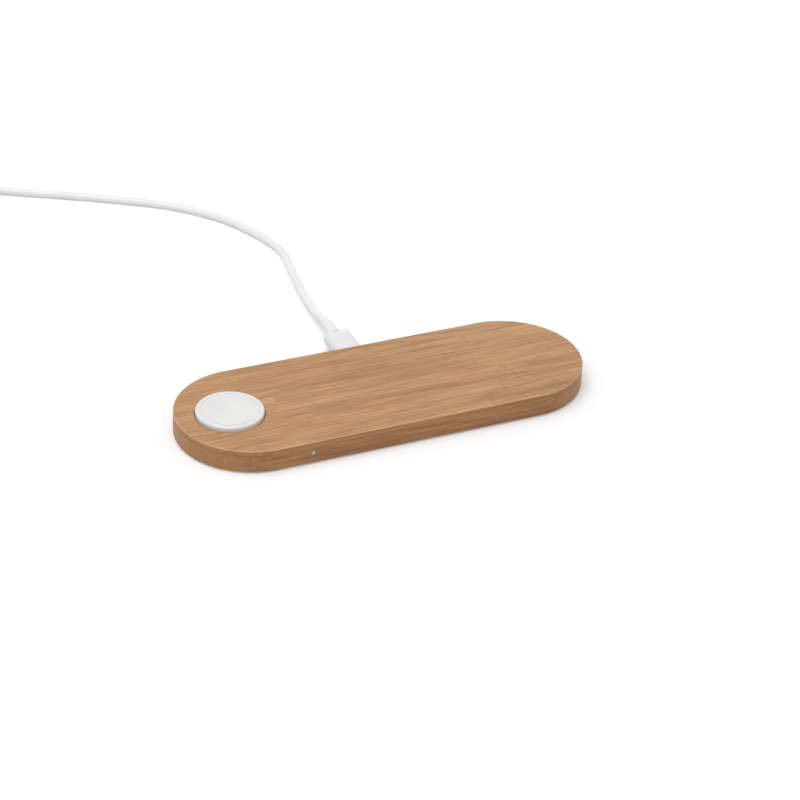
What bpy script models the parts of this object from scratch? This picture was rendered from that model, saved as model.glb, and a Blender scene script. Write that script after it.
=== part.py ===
# A flat charging station: a bamboo slab with a raised watch puck, two flat charging
# coils under its top, an indicator lamp, and a supply cord that plugs in at the back.
#
# Metres, +Z up. The origin is on the surface that the station stands on, under the
# middle of the slab. +X runs along the slab to the end that holds a phone, -Y is the
# front with the lamp and +Y is the back with the inlet.

from math import asin, atan2, cos, pi, radians, sin, sqrt, tan

import bmesh
import bpy
import numpy as np
from mathutils import Matrix, Vector
from mathutils.geometry import interpolate_bezier

# Gaps and helpers
SEAT = 0.0003  # between pieces that are glued, screwed or laid on each other
OVERRUN = 0.001  # how far every cut runs past the face it opens
MERGE = 0.0000001  # points closer than this are one point

# Bamboo slab
SLAB_LENGTH = 0.182
SLAB_WIDTH = 0.064
SLAB_THICKNESS = 0.010
PANEL_THICKNESS = 0.0022
TOP_EDGE_RADIUS = 0.0005
LOWER_EDGE_RADIUS = 0.0005
FRAME_WALL = 0.0065
FRAME_RIM = 0.002  # bamboo left outside the base plate

# Base plate, screws and feet
BASE_THICKNESS = 0.0016
BASE_EDGE = 0.0003
SCREW_TO_LAMP = 0.0101  # along the slab, from the lamp to the nearest screw
SCREW_MARGIN = 0.0005  # plastic left outside a countersink
SCREW_COVER = 0.001  # bamboo left over the tip of a screw
SCREW_HEAD_RADIUS = 0.0016
SCREW_HEAD_DEPTH = 0.001
SCREW_SUNK = 0.0002
SCREW_SHANK_RADIUS = 0.0007
SCREW_TIP = 0.0007
SCREW_SLOT_WIDTH = 0.0006
SCREW_SLOT_DEPTH = 0.0005
FOOT_RADIUS = 0.006
FOOT_THICKNESS = 0.0011
FOOT_PROUD = 0.0006
FOOT_EDGE = 0.0003
FOOT_FROM_END = 0.029
FOOT_FROM_SIDE = 0.016

# Watch puck
PUCK_TO_WALL = 0.0003  # from the puck's flange to the frame
PUCK_RADIUS = 0.0143
PUCK_PROUD = 0.002
PUCK_RIM = 0.0021  # flat or rounded, round the dish
PUCK_DISH_DEPTH = 0.001
PUCK_EDGE_RADIUS = 0.0009
PUCK_WALL = 0.0012
PUCK_FLANGE = 0.0017
PUCK_FLANGE_THICKNESS = 0.0008
PUCK_BASE_THICKNESS = 0.0008
MAGNET_TO_COIL = 0.0012
MAGNET_EDGE = 0.0003

# Charging coils and what lies under them
WIRE = 0.0008
WIRE_PITCH = 0.0013
LEAD_SPREAD = 0.0012  # half the distance between the two leads of a coil
LEAD_BEND = 0.0022
LEAD_STEP = 0.0024
FERRITE_THICKNESS = 0.001
FERRITE_MARGIN = 0.0015
WATCH_COIL_MARGIN = 0.001
EARBUD_COIL_RADIUS = 0.0125
PHONE_SIDE_GAP = 0.002  # from the phone coil's ferrite to the frame
PAD_INSET = 0.0035
WATCH_TURNS = 4
EARBUD_TURNS = 5
PHONE_TURNS = 8

# Main board
BOARD_THICKNESS = 0.0008
BOARD_BOSS = 0.0003
BOARD_WIDTH = 0.0255
BOARD_FRONT_GAP = 0.0055
ARM_TO_EARBUD_PAD = 0.002  # from the arm that reaches the inlet to the earbud pad
ARM_PAST_INLET = 0.0025
BOARD_TO_PHONE_PAD = 0.004
BOARD_TO_EARBUD_PAD = 0.0035
BOSS_RADIUS = 0.002
BOSS_INSET = 0.003
PIN_RADIUS = 0.0007
PIN_PROUD = 0.0006
CHIP_SIDE = 0.006
CHIP_HEIGHT = 0.0009
INDUCTOR_SIDE = 0.007
INDUCTOR_HEIGHT = 0.0022
INDUCTOR_EDGE = 0.0012
CAPACITOR_LENGTH = 0.0045
CAPACITOR_WIDTH = 0.0032
CAPACITOR_HEIGHT = 0.0018
CAPACITOR_FROM_EDGE = 0.0029
COMPONENT_GAP = 0.0005
CHIP_TO_INDUCTOR = 0.006
COMPONENT_EDGE = 0.0002

# Inlet in the back edge
INLET_WIDTH = 0.009
INLET_HEIGHT = 0.0032
INLET_LENGTH = 0.009
INLET_WALL = 0.00025
INLET_BACK_WALL = 0.0008
INLET_SET_BACK = 0.0004
INLET_SKIN = 0.0017  # bamboo left round the mouth of the inlet
TONGUE_SIDE_GAP = 0.00046  # to the wall of the plug that goes round it
TONGUE_THICKNESS = 0.0007
TONGUE_LENGTH = 0.005

# Indicator lamp in the front edge
LAMP_FROM_END = 0.0469
LAMP_HEIGHT = 0.0046
LAMP_RADIUS = 0.0009
LAMP_CLEARANCE = 0.00015
LAMP_COLLAR = 0.0006
LAMP_COLLAR_THICKNESS = 0.0006
LAMP_CHIP_WIDTH = 0.0016
LAMP_CHIP_DEPTH = 0.0008
LAMP_BOARD_WIDTH = 0.007
LAMP_BOARD_HEIGHT = 0.0042
LAMP_RIB_WIDTH = 0.004
LAMP_RIB_THICKNESS = 0.001
LAMP_WIRE = 0.001

# Supply cord and its plugs
PLUG_CLEARANCE = 0.00014
PLUG_WALL = 0.0003
PLUG_LENGTH = 0.0066
PLUG_SEATED = 0.001  # how far the shell goes into the moulded grip
PLUG_FLOOR = 0.0008
GRIP_WIDTH = 0.0124
GRIP_HEIGHT = 0.0064
GRIP_LENGTH = 0.018
GRIP_CORNER = 0.003
GRIP_SHOULDER = 0.0012
GRIP_GAP = 0.0004
RELIEF_LENGTH = 0.011
RELIEF_WALL = 0.0011
RELIEF_TIP_WALL = 0.0004
RELIEF_GROOVE = 0.0005
CORD = 0.0036
CORD_STEP = 0.0078
COIL_GAP = 0.0005  # between neighbouring turns of the stored coil
COIL_MEAN_RADIUS = 0.0187
COIL_TURNS = 6
COIL_END_TURN = 1 / 3
COIL_FLARE = 0.002  # how far the last part of a turn swings out of the coil
TIE_THICKNESS = 0.0006
TIE_WIDTH = 0.006
TIE_LIFT_LENGTH = 0.009
FAR_GRIP_WIDTH = 0.0156
FAR_GRIP_HEIGHT = 0.008
FAR_GRIP_LENGTH = 0.022
FAR_SHELL_WIDTH = 0.012
FAR_SHELL_HEIGHT = 0.0045
FAR_SHELL_LENGTH = 0.012
FAR_SHELL_CORNER = 0.0004
FAR_TONGUE_HEIGHT = 0.0019
TAIL_LENGTH = 0.018

# The cord's route over the table, from the plug towards the stored coil
CORD_ROUTE = [
    (0.0004, 0.0745, 0.0041),
    (0.0019, 0.0890, 0.0022),
    (0.0040, 0.1045, 0.0018),
    (0.0064, 0.1205, 0.0018),
    (0.0083, 0.1330, 0.0018),
    (0.0070, 0.1440, 0.0018),
    (0.0020, 0.1585, 0.0018),
    (-0.0075, 0.1765, 0.0018),
    (-0.0250, 0.1950, 0.0018),
    (-0.0480, 0.2103, 0.0018),
    (-0.0730, 0.2245, 0.0018),
    (-0.0960, 0.2370, 0.0018),
]
COIL_CENTRE = (-0.1340, 0.2310)
COIL_START = radians(62)

# Counts of facets
ARC_STEPS = 14
ROUND_STEPS = 36
DISC_STEPS = 24
SMALL_STEPS = 14
GROOVES = 3
CORNER_STEPS = 4
DISH_STEPS = 6
LOOP_STEPS = 24

# Heights that follow from the sizes above
slab_bottom = FOOT_PROUD
slab_top = slab_bottom + SLAB_THICKNESS
panel_bottom = slab_top - PANEL_THICKNESS
frame_top = panel_bottom - SEAT
base_top = slab_bottom + BASE_THICKNESS
ledge = base_top + SEAT
board_bottom = base_top + BOARD_BOSS + SEAT
board_top = board_bottom + BOARD_THICKNESS
on_board = board_top + SEAT
lead_height = on_board + WIRE / 2
coil_height = panel_bottom - SEAT - WIRE / 2
ferrite_top = coil_height - WIRE / 2 - SEAT
ferrite_bottom = ferrite_top - FERRITE_THICKNESS
pad_top = ferrite_bottom - SEAT
inlet_height = on_board + INLET_HEIGHT / 2
lamp_height = slab_bottom + LAMP_HEIGHT

# Plan sizes that follow
half_length = SLAB_LENGTH / 2
half_width = SLAB_WIDTH / 2
cavity_half_width = half_width - FRAME_WALL
countersink_radius = SCREW_HEAD_RADIUS + SEAT
screw_inset = FRAME_RIM + SEAT + SCREW_MARGIN + countersink_radius
puck_x = FRAME_WALL + PUCK_TO_WALL + PUCK_FLANGE + PUCK_RADIUS - half_length
watch_ferrite_radius = PUCK_RADIUS - PUCK_WALL - SEAT
watch_coil_radius = watch_ferrite_radius - WATCH_COIL_MARGIN
lamp_x = LAMP_FROM_END - half_length
screw_x = -lamp_x - SCREW_TO_LAMP
screw_end = frame_top - SCREW_COVER
phone_x = half_length - half_width
phone_ferrite_radius = cavity_half_width - PHONE_SIDE_GAP
phone_coil_radius = phone_ferrite_radius - FERRITE_MARGIN
phone_pad_radius = phone_ferrite_radius - PAD_INSET
earbud_ferrite_radius = EARBUD_COIL_RADIUS + FERRITE_MARGIN
earbud_pad_radius = earbud_ferrite_radius - PAD_INSET + FERRITE_MARGIN
board_right = phone_x - phone_pad_radius - BOARD_TO_PHONE_PAD
board_left = board_right - BOARD_WIDTH
earbud_x = board_left - BOARD_TO_EARBUD_PAD - earbud_pad_radius
board_front = BOARD_FRONT_GAP - cavity_half_width
inlet_face = half_width - INLET_SET_BACK
inlet_back = inlet_face - INLET_LENGTH
pocket_end = half_width - INLET_SKIN
board_back = pocket_end - SEAT * 2
arm_front = earbud_pad_radius + ARM_TO_EARBUD_PAD
arm_left = -INLET_WIDTH / 2 - ARM_PAST_INLET
lead_slot = LEAD_SPREAD + WIRE + SEAT
lane_x = min(arm_left - 3 * LEAD_BEND, earbud_x - earbud_pad_radius + 2 * LEAD_BEND)

# Cord sizes that follow
plug_width = INLET_WIDTH - 2 * (INLET_WALL + PLUG_CLEARANCE)
plug_height = INLET_HEIGHT - 2 * (INLET_WALL + PLUG_CLEARANCE)
grip_front = half_width + GRIP_GAP
grip_back = grip_front + GRIP_LENGTH
relief_back = grip_back + SEAT + RELIEF_LENGTH
coil_pitch = CORD + COIL_GAP
coil_layer_turns = COIL_TURNS / 2
coil_inner = COIL_MEAN_RADIUS - coil_pitch * coil_layer_turns / 2


def material(name, colour, roughness, metallic=0.0):
    made = bpy.data.materials.new(name)
    made.use_nodes = True
    shader = made.node_tree.nodes["Principled BSDF"]
    shader.inputs["Base Color"].default_value = (*colour, 1.0)
    shader.inputs["Roughness"].default_value = roughness
    shader.inputs["Metallic"].default_value = metallic
    return made


def add_object(name, data, finish, place=(0, 0, 0), parent=None):
    obj = bpy.data.objects.new(name, data)
    bpy.context.scene.collection.objects.link(obj)
    obj.location = place
    if finish is not None and not data.materials:
        data.materials.append(finish)
    if parent is not None:
        obj.parent = parent
        obj.location = Vector(place) - parent.location
    return obj


def shade(mesh):
    """Smooth round sides and sharp edges."""
    mesh.shade_smooth()
    mesh.set_sharp_from_angle(angle=radians(35))
    return mesh


def mesh_from(name, bm):
    """The bmesh as a shaded mesh with its faces pointing out."""
    bmesh.ops.recalc_face_normals(bm, faces=bm.faces)
    mesh = bpy.data.meshes.new(name)
    bm.to_mesh(mesh)
    bm.free()
    return shade(mesh)


def rounded_outline(length, width, radius, steps=CORNER_STEPS):
    """Corners of a rectangle with round corners, anticlockwise about its centre."""
    points = []
    for quarter in range(4):
        across = length / 2 - radius if quarter in (0, 3) else radius - length / 2
        along = width / 2 - radius if quarter in (0, 1) else radius - width / 2
        for step in range(steps + 1):
            angle = (quarter + step / steps) * pi / 2
            point = Vector((across + radius * cos(angle), along + radius * sin(angle)))
            if not points or (point - points[-1]).length > MERGE:
                points.append(point)
    if (points[0] - points[-1]).length < MERGE:
        points.pop()
    return points


def stadium(inset):
    """The slab's outline with round ends, drawn in by inset all round."""
    width = SLAB_WIDTH - 2 * inset
    return rounded_outline(SLAB_LENGTH - 2 * inset, width, width / 2, ARC_STEPS)


def circle(radius, steps=SMALL_STEPS, centre=(0, 0)):
    turn = 2 * pi / steps
    points = [(cos(turn * step), sin(turn * step)) for step in range(steps)]
    return [(centre[0] + radius * x, centre[1] + radius * y) for x, y in points]


def box_outline(left, right, front, back):
    return [(left, front), (right, front), (right, back), (left, back)]


def prism(outline, bottom, top, bm=None):
    """A straight-sided solid on the outline, from bottom to top."""
    bm = bm or bmesh.new()
    face = bm.faces.new([bm.verts.new((point[0], point[1], bottom)) for point in outline])
    grown = bmesh.ops.extrude_face_region(bm, geom=[face])["geom"]
    raised = [item for item in grown if isinstance(item, bmesh.types.BMVert)]
    bmesh.ops.translate(bm, vec=(0, 0, top - bottom), verts=raised)
    return bm


def ease_edges(bm, height, radius, segments=2):
    """Rounds the edges that lie flat at this height."""
    edges = [
        edge
        for edge in bm.edges
        if all(abs(vert.co.z - height) < MERGE for vert in edge.verts)
    ]
    bmesh.ops.bevel(bm, geom=edges, offset=radius, segments=segments, profile=0.5, affect="EDGES")


def turned(profile, steps=ROUND_STEPS, ring=False):
    """A profile of (radius, height) points spun about the Z axis."""
    bm = bmesh.new()
    verts = [bm.verts.new((radius, 0, height)) for radius, height in profile]
    edges = [bm.edges.new(pair) for pair in zip(verts, verts[1:])]
    if ring:
        edges.append(bm.edges.new((verts[-1], verts[0])))
    bmesh.ops.spin(
        bm,
        geom=verts + edges,
        cent=(0, 0, 0),
        axis=(0, 0, 1),
        angle=2 * pi,
        steps=steps,
        use_merge=True,
    )
    bmesh.ops.remove_doubles(bm, verts=bm.verts, dist=MERGE)
    return bm


def lofted(sections):
    """A skin over matching outlines, each a list of (x, y) points with its height."""
    bm = bmesh.new()
    rings = [[bm.verts.new((x, y, height)) for x, y in outline] for outline, height in sections]
    loops = [
        [bm.edges.new((ring[i - 1], ring[i])) for i in range(len(ring))] for ring in rings
    ]
    for lower, upper in zip(loops, loops[1:]):
        bmesh.ops.bridge_loops(bm, edges=lower + upper)
    bm.faces.new(rings[0])
    bm.faces.new(rings[-1])
    return bm


def lay_along_y(bm):
    """Turns what was built up Z so that it runs along +Y."""
    bmesh.ops.rotate(bm, cent=(0, 0, 0), matrix=Matrix.Rotation(-pi / 2, 3, "X"), verts=bm.verts)
    return bm


def combine(obj, other, operation):
    """Cuts the other solid from the object, or joins it, and marks the new edges sharp."""
    modifier = obj.modifiers.new(f"{operation.lower()} {other.name}", "BOOLEAN")
    modifier.operation = operation
    modifier.solver = "EXACT"
    modifier.object = other
    bpy.context.view_layer.update()
    whole = obj.evaluated_get(bpy.context.evaluated_depsgraph_get())
    mesh = shade(bpy.data.meshes.new_from_object(whole))
    obj.modifiers.remove(modifier)
    obj.data = mesh
    mesh.name = obj.name
    bpy.data.objects.remove(other)


def cut(obj, name, bm, place=(0, 0, 0)):
    combine(obj, add_object(name, mesh_from(name, bm), None, place), "DIFFERENCE")


def join(obj, name, bm, place=(0, 0, 0)):
    combine(obj, add_object(name, mesh_from(name, bm), None, place), "UNION")


def smooth_route(route, step):
    """Evenly spaced points on a smooth curve through the route's own points."""
    points = [Vector(point) for point in route]
    ends = [points[0] * 2 - points[1]] + points + [points[-1] * 2 - points[-2]]
    dense = []
    for before, start, end, after in zip(ends, ends[1:], ends[2:], ends[3:]):
        span = (end - start).length
        leave = (end - before).normalized() * span / 3
        arrive = (after - start).normalized() * span / 3
        dense += interpolate_bezier(start, start + leave, end - arrive, end, 24)[:-1]
    dense.append(points[-1])
    walked = np.cumsum([0.0] + [(b - a).length for a, b in zip(dense, dense[1:])])
    count = max(2, round(walked[-1] / step))
    wanted = np.linspace(0.0, walked[-1], count + 1)
    axes = np.array([tuple(point) for point in dense])
    return [Vector([np.interp(at, walked, axes[:, axis]) for axis in range(3)]) for at in wanted]


def tube(name, points, diameter, finish, level, parent=None):
    """A round tube along the points, with flat ends."""
    curve = bpy.data.curves.new(name, "CURVE")
    curve.dimensions = "3D"
    curve.bevel_depth = diameter / 2
    curve.bevel_resolution = level
    curve.use_fill_caps = True
    spline = curve.splines.new("POLY")
    spline.points.add(len(points) - 1)
    for target, point in zip(spline.points, points):
        target.co = (*point, 1.0)
    return add_object(name, curve, finish, (0, 0, 0), parent)


def report_tube(name, points, diameter):
    """Prints the tube's length and its least gap to itself, measured on close points."""
    fine = []
    for start, end in zip(points, points[1:]):
        fine += [start.lerp(end, part / 6) for part in range(6)]
    places = np.array([tuple(point) for point in fine + [points[-1]]])
    steps = np.linalg.norm(np.diff(places, axis=0), axis=1)
    walked = np.concatenate([[0.0], np.cumsum(steps)])
    apart = np.linalg.norm(places[:, None] - places[None, :], axis=2)
    apart[np.abs(walked[:, None] - walked[None, :]) < 3 * diameter] = np.inf
    gap = apart.min() - diameter
    print(f"{name}: {walked[-1] * 1000:.0f} mm long, least gap to itself {gap * 1000:.2f} mm")


def make_top_panel():
    bm = prism(stadium(0), panel_bottom, slab_top)
    ease_edges(bm, slab_top, TOP_EDGE_RADIUS, 3)
    bamboo = material("bamboo top sheet", (0.46, 0.25, 0.12), 0.45)
    panel = add_object("top_panel", mesh_from("top_panel", bm), bamboo)
    hole = prism(circle(PUCK_RADIUS + SEAT, ROUND_STEPS), panel_bottom - OVERRUN, slab_top + OVERRUN)
    cut(panel, "puck_hole", hole, (puck_x, 0, 0))


def screw_places():
    ends = [(side * (half_length - screw_inset), 0) for side in (-1, 1)]
    sides = [
        (across * screw_x, along * (half_width - screw_inset))
        for across in (-1, 1)
        for along in (-1, 1)
    ]
    return ends + sides


def make_frame():
    bm = prism(stadium(0), slab_bottom, frame_top)
    ease_edges(bm, slab_bottom, LOWER_EDGE_RADIUS)
    bamboo = material("bamboo frame", (0.36, 0.18, 0.085), 0.5)
    frame = add_object("frame_ring", mesh_from("frame_ring", bm), bamboo)
    cavity = prism(stadium(FRAME_WALL), slab_bottom - OVERRUN, frame_top + OVERRUN)
    cut(frame, "cavity", cavity)
    cut(frame, "base_rebate", prism(stadium(FRAME_RIM), slab_bottom - OVERRUN, ledge))
    pilots = bmesh.new()
    for place in screw_places():
        outline = circle(SCREW_SHANK_RADIUS + SEAT, SMALL_STEPS, place)
        prism(outline, ledge - OVERRUN, screw_end + SEAT, pilots)
    cut(frame, "screw_pilots", pilots)
    pocket = box_outline(
        arm_left - SEAT,
        -arm_left + SEAT,
        cavity_half_width - OVERRUN,
        pocket_end,
    )
    pocket_top = inlet_height + INLET_HEIGHT / 2 + SEAT
    cut(frame, "inlet_pocket", prism(pocket, ledge - OVERRUN, pocket_top))
    mouth = rounded_outline(INLET_WIDTH + 2 * SEAT, INLET_HEIGHT + 2 * SEAT, INLET_HEIGHT / 2 + SEAT)
    mouth = lay_along_y(prism(mouth, 0, INLET_SKIN + 2 * OVERRUN))
    cut(frame, "inlet_mouth", mouth, (0, pocket_end - OVERRUN, inlet_height))
    lamp_hole = circle(LAMP_RADIUS + LAMP_CLEARANCE)
    lamp_hole = lay_along_y(prism(lamp_hole, 0, FRAME_WALL + 2 * OVERRUN))
    cut(frame, "lamp_hole", lamp_hole, (lamp_x, -half_width - OVERRUN, lamp_height))


def foot_places():
    x = half_length - FOOT_FROM_END
    y = half_width - FOOT_FROM_SIDE
    return [(x * across, y * along) for across in (-1, 1) for along in (-1, 1)]


def boss_places():
    return [
        (board_left + BOSS_INSET, board_front + BOSS_INSET),
        (board_right - BOSS_INSET, board_front + BOSS_INSET),
        (board_right - BOSS_INSET, cavity_half_width - BOSS_INSET - SEAT * 2),
    ]


def make_base_plate():
    bm = prism(stadium(FRAME_RIM + SEAT), slab_bottom, base_top)
    ease_edges(bm, slab_bottom, BASE_EDGE, 1)
    plastic = material("base plastic", (0.028, 0.028, 0.03), 0.6)
    plate = add_object("base_plate", mesh_from("base_plate", bm), plastic)
    wide = countersink_radius
    narrow = SCREW_SHANK_RADIUS + SEAT
    seat_bottom = slab_bottom + SCREW_SUNK
    cone = (wide - narrow) / (SCREW_HEAD_RADIUS - SCREW_SHANK_RADIUS) * SCREW_HEAD_DEPTH
    sink = [
        (0, slab_bottom - OVERRUN),
        (wide, slab_bottom - OVERRUN),
        (wide, seat_bottom),
        (narrow, seat_bottom + cone),
        (narrow, base_top + OVERRUN),
        (0, base_top + OVERRUN),
    ]
    for number, (x, y) in enumerate(screw_places(), 1):
        cut(plate, f"countersink_{number}", turned(sink, SMALL_STEPS), (x, y, 0))
    recesses = bmesh.new()
    recess_top = FOOT_THICKNESS + SEAT
    for place in foot_places():
        outline = circle(FOOT_RADIUS + SEAT, DISC_STEPS, place)
        prism(outline, slab_bottom - OVERRUN, recess_top, recesses)
    cut(plate, "foot_recesses", recesses)
    boss = [
        (0, base_top - BASE_THICKNESS / 2),
        (BOSS_RADIUS, base_top - BASE_THICKNESS / 2),
        (BOSS_RADIUS, base_top + BOARD_BOSS),
        (PIN_RADIUS, base_top + BOARD_BOSS),
        (PIN_RADIUS, board_top + PIN_PROUD),
        (0, board_top + PIN_PROUD),
    ]
    for number, (x, y) in enumerate(boss_places(), 1):
        join(plate, f"board_boss_{number}", turned(boss, SMALL_STEPS), (x, y, 0))
    rib_front = lamp_board_back() + SEAT
    rib = box_outline(
        lamp_x - LAMP_RIB_WIDTH / 2,
        lamp_x + LAMP_RIB_WIDTH / 2,
        rib_front,
        rib_front + LAMP_RIB_THICKNESS,
    )
    join(plate, "lamp_rib", prism(rib, base_top - BASE_THICKNESS / 2, lamp_height))


def make_feet():
    bm = prism(circle(FOOT_RADIUS, DISC_STEPS), 0, FOOT_THICKNESS)
    ease_edges(bm, 0, FOOT_EDGE)
    mesh = mesh_from("foot", bm)
    rubber = material("foot rubber", (0.03, 0.03, 0.03), 0.85)
    for number, (x, y) in enumerate(foot_places(), 1):
        add_object(f"foot_{number}", mesh, rubber, (x, y, 0))


def make_screws():
    head = slab_bottom + SCREW_SUNK
    neck = head + SCREW_HEAD_DEPTH
    profile = [
        (0, head),
        (SCREW_HEAD_RADIUS, head),
        (SCREW_SHANK_RADIUS, neck),
        (SCREW_SHANK_RADIUS, screw_end - SCREW_TIP),
        (0, screw_end),
    ]
    steel = material("screw steel", (0.42, 0.42, 0.44), 0.3, 1.0)
    blank = add_object("screw_blank", mesh_from("screw_blank", turned(profile, SMALL_STEPS)), steel)
    reach = SCREW_HEAD_RADIUS - SCREW_SLOT_WIDTH
    cross = rounded_outline(2 * reach, SCREW_SLOT_WIDTH, SCREW_SLOT_WIDTH / 4, 1)
    for turn in range(2):
        slot = prism(cross, head - OVERRUN, head + SCREW_SLOT_DEPTH)
        bmesh.ops.rotate(
            slot, cent=(0, 0, 0), matrix=Matrix.Rotation(turn * pi / 2, 3, "Z"), verts=slot.verts
        )
        cut(blank, f"cross_slot_{turn}", slot)
    mesh = blank.data
    bpy.data.objects.remove(blank)
    for number, (x, y) in enumerate(screw_places(), 1):
        add_object(f"screw_{number}", mesh, steel, (x, y, 0))


def puck_levels():
    """Heights inside the puck, from its flange up."""
    flange_top = panel_bottom - SEAT
    flange_bottom = flange_top - PUCK_FLANGE_THICKNESS
    ferrite = flange_bottom + PUCK_BASE_THICKNESS + SEAT
    coil = ferrite + FERRITE_THICKNESS + SEAT + WIRE / 2
    roof = coil + WIRE / 2 + SEAT
    return flange_top, flange_bottom, ferrite, coil, roof


def make_watch_puck():
    flange_top, flange_bottom, ferrite, coil, roof = puck_levels()
    top = slab_top + PUCK_PROUD
    dish_floor = top - PUCK_DISH_DEPTH
    dish_radius = PUCK_RADIUS - PUCK_RIM
    dish_curve = (dish_radius**2 + PUCK_DISH_DEPTH**2) / (2 * PUCK_DISH_DEPTH)
    profile = []
    for step in range(DISH_STEPS + 1):
        radius = dish_radius * step / DISH_STEPS
        sag = dish_curve - sqrt(dish_curve**2 - radius**2)
        profile.append((radius, dish_floor + sag))
    for step in range(CORNER_STEPS + 1):
        angle = pi / 2 * step / CORNER_STEPS
        across = PUCK_RADIUS - PUCK_EDGE_RADIUS * (1 - sin(angle))
        profile.append((across, top - PUCK_EDGE_RADIUS * (1 - cos(angle))))
    inner = PUCK_RADIUS - PUCK_WALL
    profile += [
        (PUCK_RADIUS, flange_top),
        (PUCK_RADIUS + PUCK_FLANGE, flange_top),
        (PUCK_RADIUS + PUCK_FLANGE, flange_bottom),
        (inner, flange_bottom),
        (inner, roof),
        (0, roof),
    ]
    white = material("puck plastic", (0.82, 0.82, 0.81), 0.3)
    add_object("watch_puck", mesh_from("watch_puck", turned(profile)), white, (puck_x, 0, 0))

    disc = prism(circle(inner - SEAT, ROUND_STEPS), flange_bottom, flange_bottom + PUCK_BASE_THICKNESS)
    plate = add_object("puck_base", mesh_from("puck_base", disc), white, (puck_x, 0, 0))
    notch_start = watch_lead_radius() - LEAD_BEND / 2 - WIRE
    notch = box_outline(notch_start, inner + OVERRUN, -lead_slot, lead_slot)
    cut(
        plate,
        "lead_notch",
        prism(notch, flange_bottom - OVERRUN, flange_bottom + PUCK_BASE_THICKNESS + OVERRUN),
        (puck_x, 0, 0),
    )

    coil_hole = watch_coil_radius - WATCH_TURNS * WIRE_PITCH - WIRE / 2
    outline = circle(coil_hole - MAGNET_TO_COIL, DISC_STEPS)
    magnet = prism(outline, ferrite, coil + WIRE / 2)
    ease_edges(magnet, coil + WIRE / 2, MAGNET_EDGE, 1)
    nickel = material("magnet nickel", (0.55, 0.55, 0.56), 0.25, 1.0)
    add_object("watch_magnet", mesh_from("watch_magnet", magnet), nickel, (puck_x, 0, 0))


def watch_lead_radius():
    """Where the watch coil's leads drop through the base of the puck."""
    return watch_coil_radius - LEAD_BEND / 2


def make_ferrite(name, centre_x, outer, coil_radius, turns, bottom, way):
    """A ferrite ring with a slot for the inner lead, which leaves along way times X."""
    hole = coil_radius - (turns - 1 / 2) * WIRE_PITCH + WIRE / 2 + SEAT
    top = bottom + FERRITE_THICKNESS
    profile = [(hole, bottom), (outer, bottom), (outer, top), (hole, top)]
    grey = material(name, (0.06, 0.06, 0.065), 0.7)
    ring = add_object(name, mesh_from(name, turned(profile, ROUND_STEPS, True)), grey, (centre_x, 0, 0))
    near, far = sorted((way * (hole - OVERRUN), way * (outer + OVERRUN)))
    slot = prism(box_outline(near, far, -lead_slot, lead_slot), bottom - OVERRUN, top + OVERRUN)
    cut(ring, f"{name}_slot", slot, (centre_x, 0, 0))


def wind(name, centre_x, radius, turns, level, low, way, outer_lead, inner_lead):
    """A flat winding: in from the outer lead, round and round, then down and out.

    The leads are lists of points that run away from the coil, given for a coil that
    lies at the origin and lets its leads out along +X. way turns that to -X.
    """
    start = asin((LEAD_SPREAD + LEAD_BEND) / radius)
    inner = radius - turns * WIRE_PITCH
    end = 2 * pi * turns - asin((LEAD_SPREAD + LEAD_BEND) / inner)
    drop_from = end - 2 * pi / 3
    steps = round((end - start) / (2 * pi) * LOOP_STEPS)
    spiral = []
    for step in range(steps + 1):
        angle = start + (end - start) * step / steps
        reach = radius - WIRE_PITCH * angle / (2 * pi)
        part = max(0.0, (angle - drop_from) / (end - drop_from))
        height = level + (low - level) * part * part * (3 - 2 * part)
        spiral.append(Vector((reach * cos(angle), reach * sin(angle), height)))
    points = smooth_route(outer_lead[::-1] + [spiral[0]], LEAD_STEP)[:-1]
    points += spiral
    points += smooth_route([spiral[-1]] + inner_lead, LEAD_STEP)[1:]
    places = [Vector((centre_x + way * point.x, way * point.y, point.z)) for point in points]
    copper = material(name, (0.55, 0.24, 0.12), 0.35, 1.0)
    tube(name, places, WIRE, copper, 0)
    report_tube(name, places, WIRE)


def board_leads(radius, turns, ferrite_radius, board_reach):
    """Leads of a coil under the top panel, out over the ferrite and down to the board."""
    low = ferrite_bottom + FERRITE_THICKNESS / 2 - SEAT / 2
    inner = radius - turns * WIRE_PITCH
    edge = ferrite_radius + WIRE
    outer_lead = [
        Vector((radius + WIRE, LEAD_SPREAD + WIRE, coil_height)),
        Vector((radius + LEAD_BEND, LEAD_SPREAD, coil_height)),
        Vector((edge + LEAD_BEND, LEAD_SPREAD, lead_height + LEAD_BEND / 2)),
        Vector((edge + LEAD_BEND * 2, LEAD_SPREAD, lead_height)),
        Vector((board_reach, LEAD_SPREAD, lead_height)),
    ]
    inner_lead = [
        Vector((inner + WIRE / 2, -LEAD_SPREAD - WIRE, low)),
        Vector((inner + LEAD_BEND, -LEAD_SPREAD, low)),
        Vector((edge, -LEAD_SPREAD, low)),
        Vector((edge + LEAD_BEND, -LEAD_SPREAD, lead_height + LEAD_BEND / 2)),
        Vector((edge + LEAD_BEND * 2, -LEAD_SPREAD, lead_height)),
        Vector((board_reach, -LEAD_SPREAD, lead_height)),
    ]
    return low, outer_lead, inner_lead


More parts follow.
